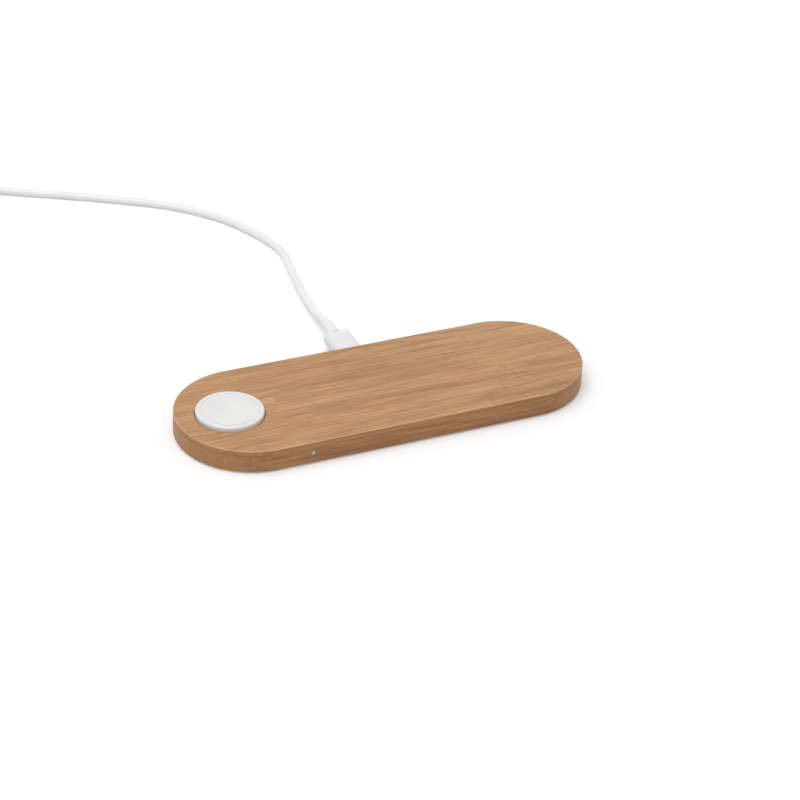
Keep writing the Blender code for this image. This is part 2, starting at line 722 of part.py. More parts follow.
def make_flat_coils():
    pads = material("foam pad", (0.10, 0.10, 0.11), 0.9)
    phone = (phone_x, phone_coil_radius, PHONE_TURNS, phone_ferrite_radius, phone_pad_radius, -1)
    earbud = (earbud_x, EARBUD_COIL_RADIUS, EARBUD_TURNS, earbud_ferrite_radius, earbud_pad_radius, 1)
    for name, sizes in (("phone", phone), ("earbud", earbud)):
        x, radius, turns, ferrite_radius, pad_radius, way = sizes
        edge = board_right if way < 0 else board_left
        reach = abs(edge - x) + BOSS_INSET + BOSS_RADIUS
        low, outer_lead, inner_lead = board_leads(radius, turns, ferrite_radius, reach)
        wind(f"{name}_coil", x, radius, turns, coil_height, low, way, outer_lead, inner_lead)
        make_ferrite(f"{name}_ferrite", x, ferrite_radius, radius, turns, ferrite_bottom, way)
        pad = prism(circle(pad_radius, DISC_STEPS), base_top + SEAT, pad_top)
        add_object(f"{name}_pad", mesh_from(f"{name}_pad", pad), pads, (x, 0, 0))


def make_watch_coil():
    flange_top, flange_bottom, ferrite, coil, roof = puck_levels()
    low = ferrite + FERRITE_THICKNESS / 2 - SEAT / 4
    inner = watch_coil_radius - WATCH_TURNS * WIRE_PITCH
    drop = watch_lead_radius()
    lane = (arm_front + cavity_half_width) / 2
    leave_x = drop + LEAD_BEND * 2
    turn_x = lane_x - puck_x
    slope = atan2(lane, turn_x - leave_x)
    pads_x = arm_left + BOSS_RADIUS - puck_x
    leads = []
    for side in (1, -1):
        offset = side * LEAD_SPREAD
        back = -offset * tan(slope / 2)
        run = [
            Vector((drop, offset, flange_bottom)),
            Vector((drop + LEAD_BEND / 2, offset, lead_height + LEAD_BEND)),
            Vector((leave_x + back, offset, lead_height)),
            Vector(((leave_x + turn_x) / 2 + back, lane / 2 + offset, lead_height)),
            Vector((turn_x + back, lane + offset, lead_height)),
            Vector((pads_x, lane + offset, lead_height)),
        ]
        leads.append(run)
    outer_lead = [
        Vector((watch_coil_radius, LEAD_SPREAD + LEAD_BEND / 2, coil)),
        Vector((drop + WIRE / 2, LEAD_SPREAD, low)),
    ] + leads[0]
    inner_lead = [
        Vector((inner + WIRE / 2, -LEAD_SPREAD - WIRE, low)),
        Vector((inner + LEAD_BEND, -LEAD_SPREAD, low)),
    ] + leads[1]
    radius = watch_coil_radius
    wind("watch_coil", puck_x, radius, WATCH_TURNS, coil, low, 1, outer_lead, inner_lead)
    make_ferrite("watch_ferrite", puck_x, watch_ferrite_radius, radius, WATCH_TURNS, ferrite, 1)


def make_board():
    outline = [
        (board_left, board_front),
        (board_right, board_front),
        (board_right, cavity_half_width - SEAT * 2),
        (-arm_left, cavity_half_width - SEAT * 2),
        (-arm_left, board_back),
        (arm_left, board_back),
        (arm_left, arm_front),
        (board_left, arm_front),
    ]
    green = material("board laminate", (0.02, 0.13, 0.06), 0.5)
    board = prism(outline, board_bottom, board_top)
    board = add_object("main_board", mesh_from("main_board", board), green)
    holes = bmesh.new()
    for place in boss_places():
        outline = circle(PIN_RADIUS + SEAT, SMALL_STEPS, place)
        prism(outline, board_bottom - OVERRUN, board_top + OVERRUN, holes)
    cut(board, "pin_holes", holes)


def add_block(name, length, width, height, corner, place, finish):
    """A component with rounded corners that stands on the board at (x, y)."""
    block = prism(rounded_outline(length, width, corner, 2), on_board, on_board + height)
    ease_edges(block, on_board + height, COMPONENT_EDGE, 1)
    add_object(name, mesh_from(name, block), finish, (*place, 0))


def make_components():
    middle = (board_left + board_right) / 2
    black = material("chip resin", (0.02, 0.02, 0.022), 0.4)
    brown = material("capacitor ceramic", (0.42, 0.28, 0.16), 0.45)
    grey = material("inductor ferrite", (0.11, 0.11, 0.12), 0.55)
    first_row = board_front + CAPACITOR_FROM_EDGE + CAPACITOR_WIDTH / 2
    row_step = CAPACITOR_WIDTH + COMPONENT_GAP
    chip_y = first_row + row_step + CAPACITOR_WIDTH / 2 + COMPONENT_GAP + CHIP_SIDE / 2
    inductor_y = chip_y + CHIP_SIDE / 2 + CHIP_TO_INDUCTOR + INDUCTOR_SIDE / 2
    add_block(
        "driver_chip", CHIP_SIDE, CHIP_SIDE, CHIP_HEIGHT, COMPONENT_EDGE, (middle, chip_y), black
    )
    add_block(
        "power_inductor",
        INDUCTOR_SIDE,
        INDUCTOR_SIDE,
        INDUCTOR_HEIGHT,
        INDUCTOR_EDGE,
        (middle, inductor_y),
        grey,
    )
    for number in range(4):
        across = (number % 2 - 1 / 2) * (CAPACITOR_LENGTH + COMPONENT_GAP)
        along = first_row + (number // 2) * row_step
        add_block(
            f"capacitor_{number + 1}",
            CAPACITOR_LENGTH,
            CAPACITOR_WIDTH,
            CAPACITOR_HEIGHT,
            COMPONENT_EDGE,
            (middle + across, along),
            brown,
        )


def make_inlet():
    outer = rounded_outline(INLET_WIDTH, INLET_HEIGHT, INLET_HEIGHT / 2)
    steel = material("inlet steel", (0.62, 0.62, 0.63), 0.3, 1.0)
    body = lay_along_y(prism(outer, 0, INLET_LENGTH))
    place = (0, inlet_back, inlet_height)
    shell = add_object("inlet_shell", mesh_from("inlet_shell", body), steel, place)
    height = INLET_HEIGHT - 2 * INLET_WALL
    hollow = rounded_outline(INLET_WIDTH - 2 * INLET_WALL, height, height / 2)
    hollow = lay_along_y(prism(hollow, INLET_BACK_WALL, INLET_LENGTH + OVERRUN))
    cut(shell, "inlet_hollow", hollow, place)
    tongue_width = plug_width - 2 * (PLUG_WALL + TONGUE_SIDE_GAP)
    tongue = rounded_outline(tongue_width, TONGUE_THICKNESS, TONGUE_THICKNESS / 4, 1)
    start = INLET_BACK_WALL + SEAT
    tongue = lay_along_y(prism(tongue, start, start + TONGUE_LENGTH))
    black = material("tongue resin", (0.02, 0.02, 0.02), 0.5)
    add_object("inlet_tongue", mesh_from("inlet_tongue", tongue), black, place)


def lamp_pipe_back():
    return -cavity_half_width + LAMP_COLLAR_THICKNESS + SEAT


def lamp_board_back():
    return lamp_pipe_back() + SEAT + LAMP_CHIP_DEPTH + SEAT + BOARD_THICKNESS


def make_lamp():
    front = -half_width
    collar = -cavity_half_width + SEAT
    profile = [
        (0, 0),
        (LAMP_RADIUS, 0),
        (LAMP_RADIUS, collar - front),
        (LAMP_RADIUS + LAMP_COLLAR, collar - front),
        (LAMP_RADIUS + LAMP_COLLAR, lamp_pipe_back() - front),
        (0, lamp_pipe_back() - front),
    ]
    clear = material("lamp lens", (0.25, 0.75, 0.72), 0.2)
    pipe = lay_along_y(turned(profile, SMALL_STEPS))
    add_object("lamp_lens", mesh_from("lamp_lens", pipe), clear, (lamp_x, front, lamp_height))
    chip_front = lamp_pipe_back() + SEAT
    chip = rounded_outline(LAMP_CHIP_WIDTH, LAMP_CHIP_WIDTH, COMPONENT_EDGE, 1)
    chip = lay_along_y(prism(chip, 0, LAMP_CHIP_DEPTH))
    yellow = material("lamp chip resin", (0.75, 0.7, 0.35), 0.4)
    add_object("lamp_chip", mesh_from("lamp_chip", chip), yellow, (lamp_x, chip_front, lamp_height))
    plate_front = chip_front + LAMP_CHIP_DEPTH + SEAT
    plate = rounded_outline(LAMP_BOARD_WIDTH, LAMP_BOARD_HEIGHT, COMPONENT_EDGE, 1)
    plate = lay_along_y(prism(plate, 0, BOARD_THICKNESS))
    green = material("lamp board laminate", (0.02, 0.13, 0.06), 0.5)
    place = (lamp_x, plate_front, base_top + SEAT + LAMP_BOARD_HEIGHT / 2)
    add_object("lamp_board", mesh_from("lamp_board", plate), green, place)
    lane = -earbud_ferrite_radius - LAMP_WIRE * 3 / 2
    wire_start = lamp_x + LAMP_BOARD_WIDTH / 2
    height = on_board + LAMP_WIRE / 2
    route = [
        (wire_start, lamp_board_back() + LAMP_WIRE, height),
        (wire_start + LEAD_BEND * 2, (lamp_board_back() + lane) / 2, height),
        (wire_start + LEAD_BEND * 4, lane, height),
        (board_left + BOSS_INSET - PIN_RADIUS - LAMP_WIRE, lane, height),
    ]
    sleeve = material("lamp wire sleeve", (0.55, 0.05, 0.04), 0.5)
    tube("lamp_wire", smooth_route(route, LEAD_STEP), LAMP_WIRE, sleeve, 1)


def grip_sections(width, height, length, shoulder):
    """A moulded grip: flat front, straight sides and shoulders drawn in at both ends."""
    shape = (
        (0, shoulder / 2),
        (shoulder / 4, shoulder / 8),
        (shoulder / 2, 0),
        (length - shoulder * 2, 0),
        (length - shoulder, shoulder / 4),
        (length - shoulder / 4, shoulder * 3 / 4),
        (length, shoulder * 5 / 4),
    )
    corner = min(GRIP_CORNER, height / 2 - shoulder / 8)
    return [
        (
            [tuple(p) for p in rounded_outline(width - 2 * inset, height - 2 * inset, corner - inset)],
            at,
        )
        for at, inset in shape
    ]


def relief_profile(length):
    """A tapered, grooved boot round the cord."""
    wide = CORD / 2 + RELIEF_WALL
    tip = CORD / 2 + RELIEF_TIP_WALL
    profile = [(0, 0), (wide, 0)]
    for number in range(GROOVES):
        for share, sunk in ((0.35, 0), (0.45, 1), (0.85, 1), (0.95, 0)):
            at = (number + share) / (GROOVES + 1 / 2)
            radius = wide + (tip - wide) * at - sunk * RELIEF_GROOVE
            profile.append((radius, at * length))
    return profile + [(tip, length), (0, length)]


def make_near_plug(cable):
    steel = material("plug steel", (0.66, 0.66, 0.67), 0.25, 1.0)
    white = material("cord sleeve white", (0.86, 0.86, 0.85), 0.4)
    tip = grip_front - PLUG_LENGTH
    outer = rounded_outline(plug_width, plug_height, plug_height / 2)
    shell = lay_along_y(prism(outer, 0, PLUG_LENGTH + PLUG_SEATED))
    place = (0, tip, inlet_height)
    shell = add_object("plug_shell", mesh_from("plug_shell", shell), steel, place, cable)
    height = plug_height - 2 * PLUG_WALL
    hollow = rounded_outline(plug_width - 2 * PLUG_WALL, height, height / 2)
    hollow = lay_along_y(prism(hollow, -OVERRUN, PLUG_LENGTH - PLUG_FLOOR))
    cut(shell, "plug_hollow", hollow, place)

    sections = grip_sections(GRIP_WIDTH, GRIP_HEIGHT, GRIP_LENGTH, GRIP_SHOULDER)
    grip = lay_along_y(lofted(sections))
    place = (0, grip_front, inlet_height)
    grip = add_object("plug_grip", mesh_from("plug_grip", grip), white, place, cable)
    seat = rounded_outline(plug_width + 2 * SEAT, plug_height + 2 * SEAT, plug_height / 2 + SEAT)
    seat = lay_along_y(prism(seat, -OVERRUN, PLUG_SEATED + SEAT))
    cut(grip, "shell_seat", seat, place)

    boot = lay_along_y(turned(relief_profile(RELIEF_LENGTH), SMALL_STEPS))
    place = (0, grip_back + SEAT, inlet_height)
    add_object("plug_relief", mesh_from("plug_relief", boot), white, place, cable)
    return white


def coil_point(angle):
    """The stored coil's centre line: in on the lower layer, up a layer, and out again."""
    turned_by = angle / (2 * pi)
    back = abs(turned_by - coil_layer_turns)
    leaving = max(0.0, (turned_by - COIL_TURNS) / COIL_END_TURN)
    radius = coil_inner + coil_pitch * back + COIL_FLARE * leaving
    climb = min(1.0, max(0.0, (turned_by - coil_layer_turns) * 2 + 0.5))
    height = CORD / 2 + coil_pitch * climb * climb * (3 - 2 * climb)
    height += (FAR_GRIP_HEIGHT / 2 - height) * leaving * leaving
    direction = COIL_START + angle
    away = sin((direction - tie_direction()) / 2) * 2 * COIL_MEAN_RADIUS / TIE_LIFT_LENGTH
    height += (TIE_THICKNESS + SEAT) * 2 ** (-away * away)
    x = COIL_CENTRE[0] + radius * cos(direction)
    y = COIL_CENTRE[1] + radius * sin(direction)
    return Vector((x, y, height))


def tie_direction():
    return COIL_START - 2 * pi / 3


def coil_heading(angle):
    """The way the centre line runs, level, at this angle of turn."""
    step = pi / 180
    way = coil_point(angle + step) - coil_point(angle)
    way.z = 0
    return way.normalized()


def make_cord(cable, white):
    entry = coil_point(0)
    heading = coil_heading(0)
    meet = entry - heading * CORD
    start = Vector((0, relief_back + SEAT, inlet_height))
    route = [start, start + Vector((0, CORD, 0))]
    route += [Vector(point) for point in CORD_ROUTE]
    free_end = meet - heading * SEAT
    route += [free_end - heading * CORD * 2, free_end - heading * CORD, free_end]
    free = smooth_route(route, CORD_STEP)
    free = [start, route[1]] + free[1:-1] + [route[-2], free_end]
    tube("cord", free, CORD, white, 2, cable)
    report_tube("cord", free, CORD)

    end = 2 * pi * (COIL_TURNS + COIL_END_TURN)
    steps = round(end / (2 * pi) * LOOP_STEPS)
    points = [meet] + [coil_point(end * step / steps) for step in range(steps + 1)]
    tail_heading = coil_heading(end)
    tail_end = points[-1] + tail_heading * TAIL_LENGTH
    points += [tail_end - tail_heading * CORD, tail_end]
    tube("cord_coil", points, CORD, white, 1, cable)
    report_tube("cord_coil", points, CORD)
    return tail_end, tail_heading


def make_tie(cable):
    """A soft band round the bundle of turns, with the turns lifted over it."""
    radii = [abs(turn - coil_layer_turns) for turn in turns_at_tie()]
    bow = TIE_WIDTH**2 / (8 * coil_inner)
    near = coil_inner + coil_pitch * min(radii) - CORD / 2 - SEAT - bow
    far = coil_inner + coil_pitch * max(radii) + CORD / 2 + SEAT
    height = CORD + coil_pitch + 2 * SEAT
    corner = CORD / 2 + SEAT
    outer = rounded_outline(
        far - near + 2 * TIE_THICKNESS, height + 2 * TIE_THICKNESS, corner + TIE_THICKNESS
    )
    band = prism(outer, -TIE_WIDTH / 2, TIE_WIDTH / 2)
    stand = Matrix.Rotation(tie_direction(), 4, "Z") @ Matrix.Rotation(pi / 2, 4, "X")
    middle = (near + far) / 2
    x = COIL_CENTRE[0] + middle * cos(tie_direction())
    y = COIL_CENTRE[1] + middle * sin(tie_direction())
    place = (x, y, height / 2 + TIE_THICKNESS)
    bmesh.ops.transform(band, matrix=stand, verts=band.verts)
    grey = material("tie band", (0.72, 0.72, 0.72), 0.8)
    band = add_object("cord_tie", mesh_from("cord_tie", band), grey, place, cable)
    half_cut = TIE_WIDTH / 2 + OVERRUN
    hollow = prism(rounded_outline(far - near, height, corner), -half_cut, half_cut)
    bmesh.ops.transform(hollow, matrix=stand, verts=hollow.verts)
    cut(band, "tie_hollow", hollow, place)


def turns_at_tie():
    first = (tie_direction() - COIL_START) / (2 * pi) % 1
    return [first + turn for turn in range(COIL_TURNS)]


def make_far_plug(cable, place, heading, white):
    turn = Vector((0, 1)).angle_signed(Vector((heading.x, heading.y)))
    steel = material("far plug steel", (0.66, 0.66, 0.67), 0.25, 1.0)
    pale = material("far plug resin", (0.9, 0.9, 0.88), 0.45)
    middle = place.z

    def lay(name, bm, at, finish):
        lay_along_y(bm)
        bmesh.ops.rotate(bm, cent=(0, 0, 0), matrix=Matrix.Rotation(-turn, 3, "Z"), verts=bm.verts)
        spot = place + heading * at
        return add_object(name, mesh_from(name, bm), finish, (spot.x, spot.y, middle), cable)

    boot = turned(relief_profile(RELIEF_LENGTH), SMALL_STEPS)
    bmesh.ops.rotate(boot, cent=(0, 0, 0), matrix=Matrix.Rotation(pi, 3, "X"), verts=boot.verts)
    at = SEAT + RELIEF_LENGTH
    lay("far_relief", boot, at, white)
    sections = grip_sections(FAR_GRIP_WIDTH, FAR_GRIP_HEIGHT, FAR_GRIP_LENGTH, GRIP_SHOULDER)
    grip = lofted(sections)
    bmesh.ops.rotate(grip, cent=(0, 0, 0), matrix=Matrix.Rotation(pi, 3, "X"), verts=grip.verts)
    at += SEAT + FAR_GRIP_LENGTH
    grip = lay("far_grip", grip, at, white)
    seat_corner = FAR_SHELL_CORNER + SEAT
    seat = rounded_outline(FAR_SHELL_WIDTH + 2 * SEAT, FAR_SHELL_HEIGHT + 2 * SEAT, seat_corner)
    seat = prism(seat, -PLUG_SEATED - SEAT, OVERRUN)
    seat = lay("far_shell_seat", seat, at, None)
    combine(grip, seat, "DIFFERENCE")
    outer = rounded_outline(FAR_SHELL_WIDTH, FAR_SHELL_HEIGHT, FAR_SHELL_CORNER)
    shell = lay("far_shell", prism(outer, -PLUG_SEATED, FAR_SHELL_LENGTH), at, steel)
    inner_width = FAR_SHELL_WIDTH - 2 * PLUG_WALL
    inner_height = FAR_SHELL_HEIGHT - 2 * PLUG_WALL
    hollow = rounded_outline(inner_width, inner_height, FAR_SHELL_CORNER / 2)
    hollow = prism(hollow, 0, FAR_SHELL_LENGTH + OVERRUN)
    combine(shell, lay("far_hollow", hollow, at, None), "DIFFERENCE")
    tongue = rounded_outline(inner_width - 2 * SEAT, FAR_TONGUE_HEIGHT, FAR_SHELL_CORNER / 2)
    drop = (inner_height - FAR_TONGUE_HEIGHT) / 2 - SEAT
    tongue = [(x, y + drop) for x, y in tongue]
    lay("far_tongue", prism(tongue, SEAT, FAR_SHELL_LENGTH - SEAT), at, pale)


def main():
    for obj in list(bpy.data.objects):
        bpy.data.objects.remove(obj, do_unlink=True)
    make_top_panel()
    make_frame()
    make_base_plate()
    make_feet()
    make_screws()
    make_watch_puck()
    make_watch_coil()
    make_flat_coils()
    make_board()
    make_components()
    make_inlet()
    make_lamp()
    cable = bpy.data.objects.new("cable_axis", None)
    bpy.context.scene.collection.objects.link(cable)
    cable.location = (0, grip_front, inlet_height)
    white = make_near_plug(cable)
    tail_end, tail_heading = make_cord(cable, white)
    make_tie(cable)
    make_far_plug(cable, tail_end, tail_heading, white)


main()
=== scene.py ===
# The finished look of a flat bamboo charging station with its supply cord, built
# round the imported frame. Metres, Z up, the front edge towards -Y, the cord at +Y.

from math import cos, hypot, pi, radians, sin, sqrt

import bmesh
import bpy
import numpy as np
from mathutils import Matrix, Vector
from mathutils.geometry import interpolate_bezier


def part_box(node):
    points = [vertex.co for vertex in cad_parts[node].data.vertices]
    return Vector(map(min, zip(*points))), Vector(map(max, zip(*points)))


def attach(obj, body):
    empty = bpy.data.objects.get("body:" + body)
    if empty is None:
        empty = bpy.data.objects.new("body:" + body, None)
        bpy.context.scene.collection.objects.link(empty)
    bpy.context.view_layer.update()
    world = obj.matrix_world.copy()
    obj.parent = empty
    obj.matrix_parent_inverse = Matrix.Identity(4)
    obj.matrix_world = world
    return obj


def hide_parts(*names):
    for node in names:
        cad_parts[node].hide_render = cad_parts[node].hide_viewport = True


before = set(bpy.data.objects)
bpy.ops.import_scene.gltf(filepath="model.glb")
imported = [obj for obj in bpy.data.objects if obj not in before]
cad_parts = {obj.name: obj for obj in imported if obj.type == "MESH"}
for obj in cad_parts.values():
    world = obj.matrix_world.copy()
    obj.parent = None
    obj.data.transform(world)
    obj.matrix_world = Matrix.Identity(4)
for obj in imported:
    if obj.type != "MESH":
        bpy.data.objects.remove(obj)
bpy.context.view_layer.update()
print("frame loaded:", len(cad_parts), "nodes")

fit = {
    "seat": 0.0003,  # the gap between pieces that lie on each other
    "overrun": 0.001,  # how far a cut runs past the face it opens
    "merge": 0.0000001,  # points closer than this become one
    "near": 0.000001,  # how close counts as level, or as on a loop
    "flat": 0.00001,  # what stays flat between two rounded edges
    "sharpAngle": 35,
}
seat, overrun = fit["seat"], fit["overrun"]

slab = {
    "halfLength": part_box("top_panel")[1].x,
    "halfWidth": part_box("top_panel")[1].y,
    "top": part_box("top_panel")[1].z,
    "arcSteps": 72,
}
slab["endX"] = slab["halfLength"] - slab["halfWidth"]


def middleOf(node):
    low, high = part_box(node)
    return (low + high) / 2


def sizeOf(node):
    low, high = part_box(node)
    return high - low


def levelsOf(node):  # the heights of its bottom and top
    return [corner.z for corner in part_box(node)]


def addObject(name, data):
    made = bpy.data.objects.new(name, data)
    bpy.context.scene.collection.objects.link(made)
    return made


# shader nodes

finishes = {}
noiseLook = {
    "low": 0.3,  # nearly all of a noise lies between these two
    "high": 0.7,
    "middle": 0.5,
}


class Number:  # a node's output, on which a sign such as + or < makes a Math node
    def __init__(self, socket):
        self.socket = socket

    def __add__(self, other):
        return calc("ADD", self, other)

    def __sub__(self, other):
        return calc("SUBTRACT", self, other)

    def __mul__(self, other):
        return calc("MULTIPLY", self, other)

    def __truediv__(self, other):
        return calc("DIVIDE", self, other)

    def __lt__(self, other):
        return calc("LESS_THAN", self, other)

    def __gt__(self, other):
        return calc("GREATER_THAN", self, other)

    def __abs__(self):
        return calc("ABSOLUTE", self)


def newFinish(name):
    finish = bpy.data.materials.new(name)
    finish.use_nodes = True
    finishes[name] = finish
    nodes = finish.node_tree.nodes
    return nodes["Principled BSDF"], nodes.new("ShaderNodeTexCoord").outputs["Object"]


def socketOf(value):
    return value.socket if isinstance(value, Number) else value


def feed(made, inputs):  # links a value that comes from another node, or sets it
    for key, value in inputs.items():
        socket, value = made.inputs[key], socketOf(value)
        if isinstance(value, bpy.types.NodeSocket):
            made.id_data.links.new(value, socket)
        elif socket.type == "RGBA":
            socket.default_value = (*value, 1)
        else:
            socket.default_value = value


def addNode(kind, inputs, **settings):  # beside the nodes that feed it
    before = [socketOf(value) for value in inputs.values()]
    tree = next(value.id_data for value in before if isinstance(value, bpy.types.NodeSocket))
    made = tree.nodes.new("ShaderNode" + kind)
    for key, value in settings.items():
        setattr(made, key, value)
    feed(made, inputs)
    return made.outputs


def calc(operation, first, second=0.0):
    return Number(addNode("Math", {0: first, 1: second}, operation=operation)[0])


def vectorCalc(operation, first, second=(0, 0, 0)):
    outputs = addNode("VectorMath", {0: first, 1: second}, operation=operation)
    return Number(outputs["Value"]) if operation in ("LENGTH", "DISTANCE") else outputs["Vector"]


def axesOf(vector):
    return [Number(axis) for axis in addNode("SeparateXYZ", {0: vector})]


def between(value, low, high, start=noiseLook["low"], end=noiseLook["high"], way="LINEAR"):
    inputs = {"Value": value, "From Min": start, "From Max": end, "To Min": low, "To Max": high}
    return Number(addNode("MapRange", inputs, interpolation_type=way)[0])


def smooth(value, start, end):  # 0 at start, 1 at end, eased between them
    return between(value, 0.0, 1.0, start, end, "SMOOTHSTEP")


# camera, floor and light

viewpoint = {
    "place": (-0.3701, -0.7986, 0.5557),
    "lens": 110.86,
    "sensor": 36,
    "yaw": 0.442857,
    "pitch": 0.560998,
    "roll": 0.049032,
}

studio = {
    "worldLight": 0.61,
    "lampHeight": 1.3,
    "lampSide": 1.1,
    "lampPower": 8.6,
    "lampLean": (-0.32, -0.04),
    "floorSide": 8.0,
    "floorColour": (0.793, 0.807, 0.823),
    "floorGlow": (0.228, 0.62),  # beside the object, and far away, where the lamp gives out
    "glowReach": (0.13, 1.3),
}


def makeCamera():
    data = bpy.data.cameras.new("camera")
    data.lens = viewpoint["lens"]
    data.sensor_width = viewpoint["sensor"]
    camera = addObject("camera", data)
    turn = Matrix.Rotation(-viewpoint["yaw"], 4, "Z")
    tilt = Matrix.Rotation(pi / 2 - viewpoint["pitch"], 4, "X")
    roll = Matrix.Rotation(viewpoint["roll"], 4, "Z")
    camera.matrix_world = Matrix.Translation(viewpoint["place"]) @ turn @ tilt @ roll
    bpy.context.scene.camera = camera
    bpy.context.scene.view_settings.view_transform = "Standard"


def seenRay(beside):  # 1 for the rays that show the background itself, else 0
    path = beside.id_data.nodes.new("ShaderNodeLightPath").outputs
    shown = Number(path["Is Camera Ray"]) + path["Is Glossy Ray"] + path["Is Transmission Ray"]
    return calc("MINIMUM", shown, 1.0)


def makeStudio():
    world = bpy.data.worlds.new("studio")
    world.use_nodes = True
    bpy.context.scene.world = world
    background = world.node_tree.nodes["Background"]
    strength = between(seenRay(background), studio["worldLight"], 1.0, 0.0, 1.0)
    feed(background, {"Color": (1, 1, 1), "Strength": strength})

    shader, place = newFinish("pale floor")
    glow = between(vectorCalc("LENGTH", place), *studio["floorGlow"], *studio["glowReach"])
    feed(shader, {
        "Base Color": studio["floorColour"],
        "Roughness": 1.0,
        "Specular IOR Level": 0.0,
        "Emission Color": (1, 1, 1),
        "Emission Strength": seenRay(shader) * glow,
    })
    bm = bmesh.new()
    bmesh.ops.create_grid(bm, x_segments=1, y_segments=1, size=studio["floorSide"] / 2)
    mesh = bpy.data.meshes.new("floor")
    bm.to_mesh(mesh)
    bm.free()
    mesh.materials.append(finishes["pale floor"])
    addObject("floor", mesh)

    data = bpy.data.lights.new("soft box", "AREA")
    data.shape = "DISK"
    data.size = studio["lampSide"]
    data.energy = studio["lampPower"]
    place = Vector((*studio["lampLean"], studio["lampHeight"]))
    aim = place.to_track_quat("Z", "Y").to_matrix().to_4x4()
    addObject("soft box", data).matrix_world = Matrix.Translation(place) @ aim


makeCamera()
makeStudio()
print("camera and studio ready")


# surface finishes

def noise(place, stretch, detail=2.0, roughness=0.5):
    scaled = vectorCalc("MULTIPLY", place, stretch)
    inputs = {"Vector": scaled, "Scale": 1.0, "Detail": detail, "Roughness": roughness}
    return Number(addNode("TexNoise", inputs)[0])


def evenNoise(place, size, detail=2.0):  # as long as it is wide
    return noise(place, (1 / size,) * 3, detail)


def draw(number, seed):  # one random value for each whole number
    return Number(addNode("TexWhiteNoise", {"W": number + seed}, noise_dimensions="1D")[0])


def ramp(value, *stops):
    made = addNode("ValToRGB", {0: value})[0]
    elements = made.node.color_ramp.elements
    while len(elements) < len(stops):
        elements.new(1.0)
    for element, (place, colour) in zip(elements, stops):
        element.position = place
        element.color = (*colour, 1)
    return made


def mottled(value, shade, colour):  # from one colour to the other as a noise goes up
    return ramp(value, (noiseLook["low"], shade), (noiseLook["high"], colour))


def mix(share, first, second, blend="MIX"):
    return addNode("Mix", {0: share, 6: first, 7: second}, data_type="RGBA", blend_type=blend)[2]


def addBump(shader, height, depth):
    inputs = {"Height": height, "Distance": depth, "Strength": 1.0}
    feed(shader, {"Normal": addNode("Bump", inputs)[0]})


def surfaceFinish(
    name, colour, shade, mottle, grain, depth, roughness, sockets=None, stretch=(1, 1, 1)
):
    shader, place = newFinish(name)
    clouds = noise(place, tuple(Vector(stretch) / mottle), detail=3.0)
    grains = noise(place, tuple(Vector(stretch) / grain), roughness=0.6)
    look = {"Base Color": mottled(clouds, shade, colour), "Roughness": between(grains, *roughness)}
    feed(shader, {**look, **(sockets or {})})
    addBump(shader, grains, depth)
    return shader, place


bamboo = {
    "top": {"row": 0.0081, "shift": 0.03305, "joint": -0.050, "seed": 3.0},
    "side": {"row": 0.0066, "shift": 0.0365, "joint": -0.2, "seed": 19.0},
    "draws": {"joint": 0.75, "piece": 0.5, "knot": 0.25},  # keep the random draws apart
    "jointSpread": 0.016,
    "jointShare": 0.3,
    "seam": 0.00007,
    "rowSeamShare": 0.28,
    "jointSeamShare": 0.2,
    "strewn": 3.0,  # how far along its grain one piece starts from another
    "fibre": ((42, 1250, 1250), 3.0, 0.6),  # a noise's stretch, detail and roughness
    "streak": ((13, 560, 560), 2.0, 0.55),
    "fleck": ((105, 1800, 1800), 2.0, 0.5),
    "cloud": ((12, 110, 140), 2.0, 0.5),
    "fibreShare": 0.68,
    "toneSpread": 0.038,
    "dark": (0.375, (0.347, 0.167, 0.067)),  # the level that has this colour
    "middle": (0.5, (0.472, 0.252, 0.110)),
    "light": (0.625, (0.574, 0.338, 0.166)),
    "pore": (0.205, 0.083, 0.032),
    "poreDepthShare": 0.4,
    "streakShare": 0.24,
    "streakSpan": (0.52, 0.70),
    "fleckShare": 0.42,
    "fleckSpan": (0.54, 0.72),
    "knotReach": (0.032, 0.084),
    "knotHalf": 0.0013,
    "knotHalo": 0.005,
    "knotRagged": 0.0035,
    "knotShade": 0.017,
    "knotDark": 3.0,
    "endShare": 0.35,
    "endTurn": (0.6, 0.08),  # how far a face is turned towards the slab's ends
    "sideTurn": (0.75, 0.25),  # how far a face is turned upwards
    # painted shade: how much darker and warmer the sides are than the top
    "sideShadeTint": (0.88, 0.785, 0.68),
    # partly wear, partly a painted highlight: the paler colour along the top rim
    "wornHighlight": (0.80, 0.56, 0.37),
    "wornHighlightBand": 0.0005,
    "wornHighlightShare": (0.6, 1.0),
    "roughness": (0.42, 0.6),
    "specular": 0.4,
    "depth": 0.00004,
}


def fromRim(along, across):  # how far a point lies inside the slab's outline
    beyond = calc("MAXIMUM", abs(along) - slab["endX"], 0.0)
    reach = vectorCalc("LENGTH", addNode("CombineXYZ", {0: beyond, 1: across})[0])
    return calc("SUBTRACT", slab["halfWidth"], reach)


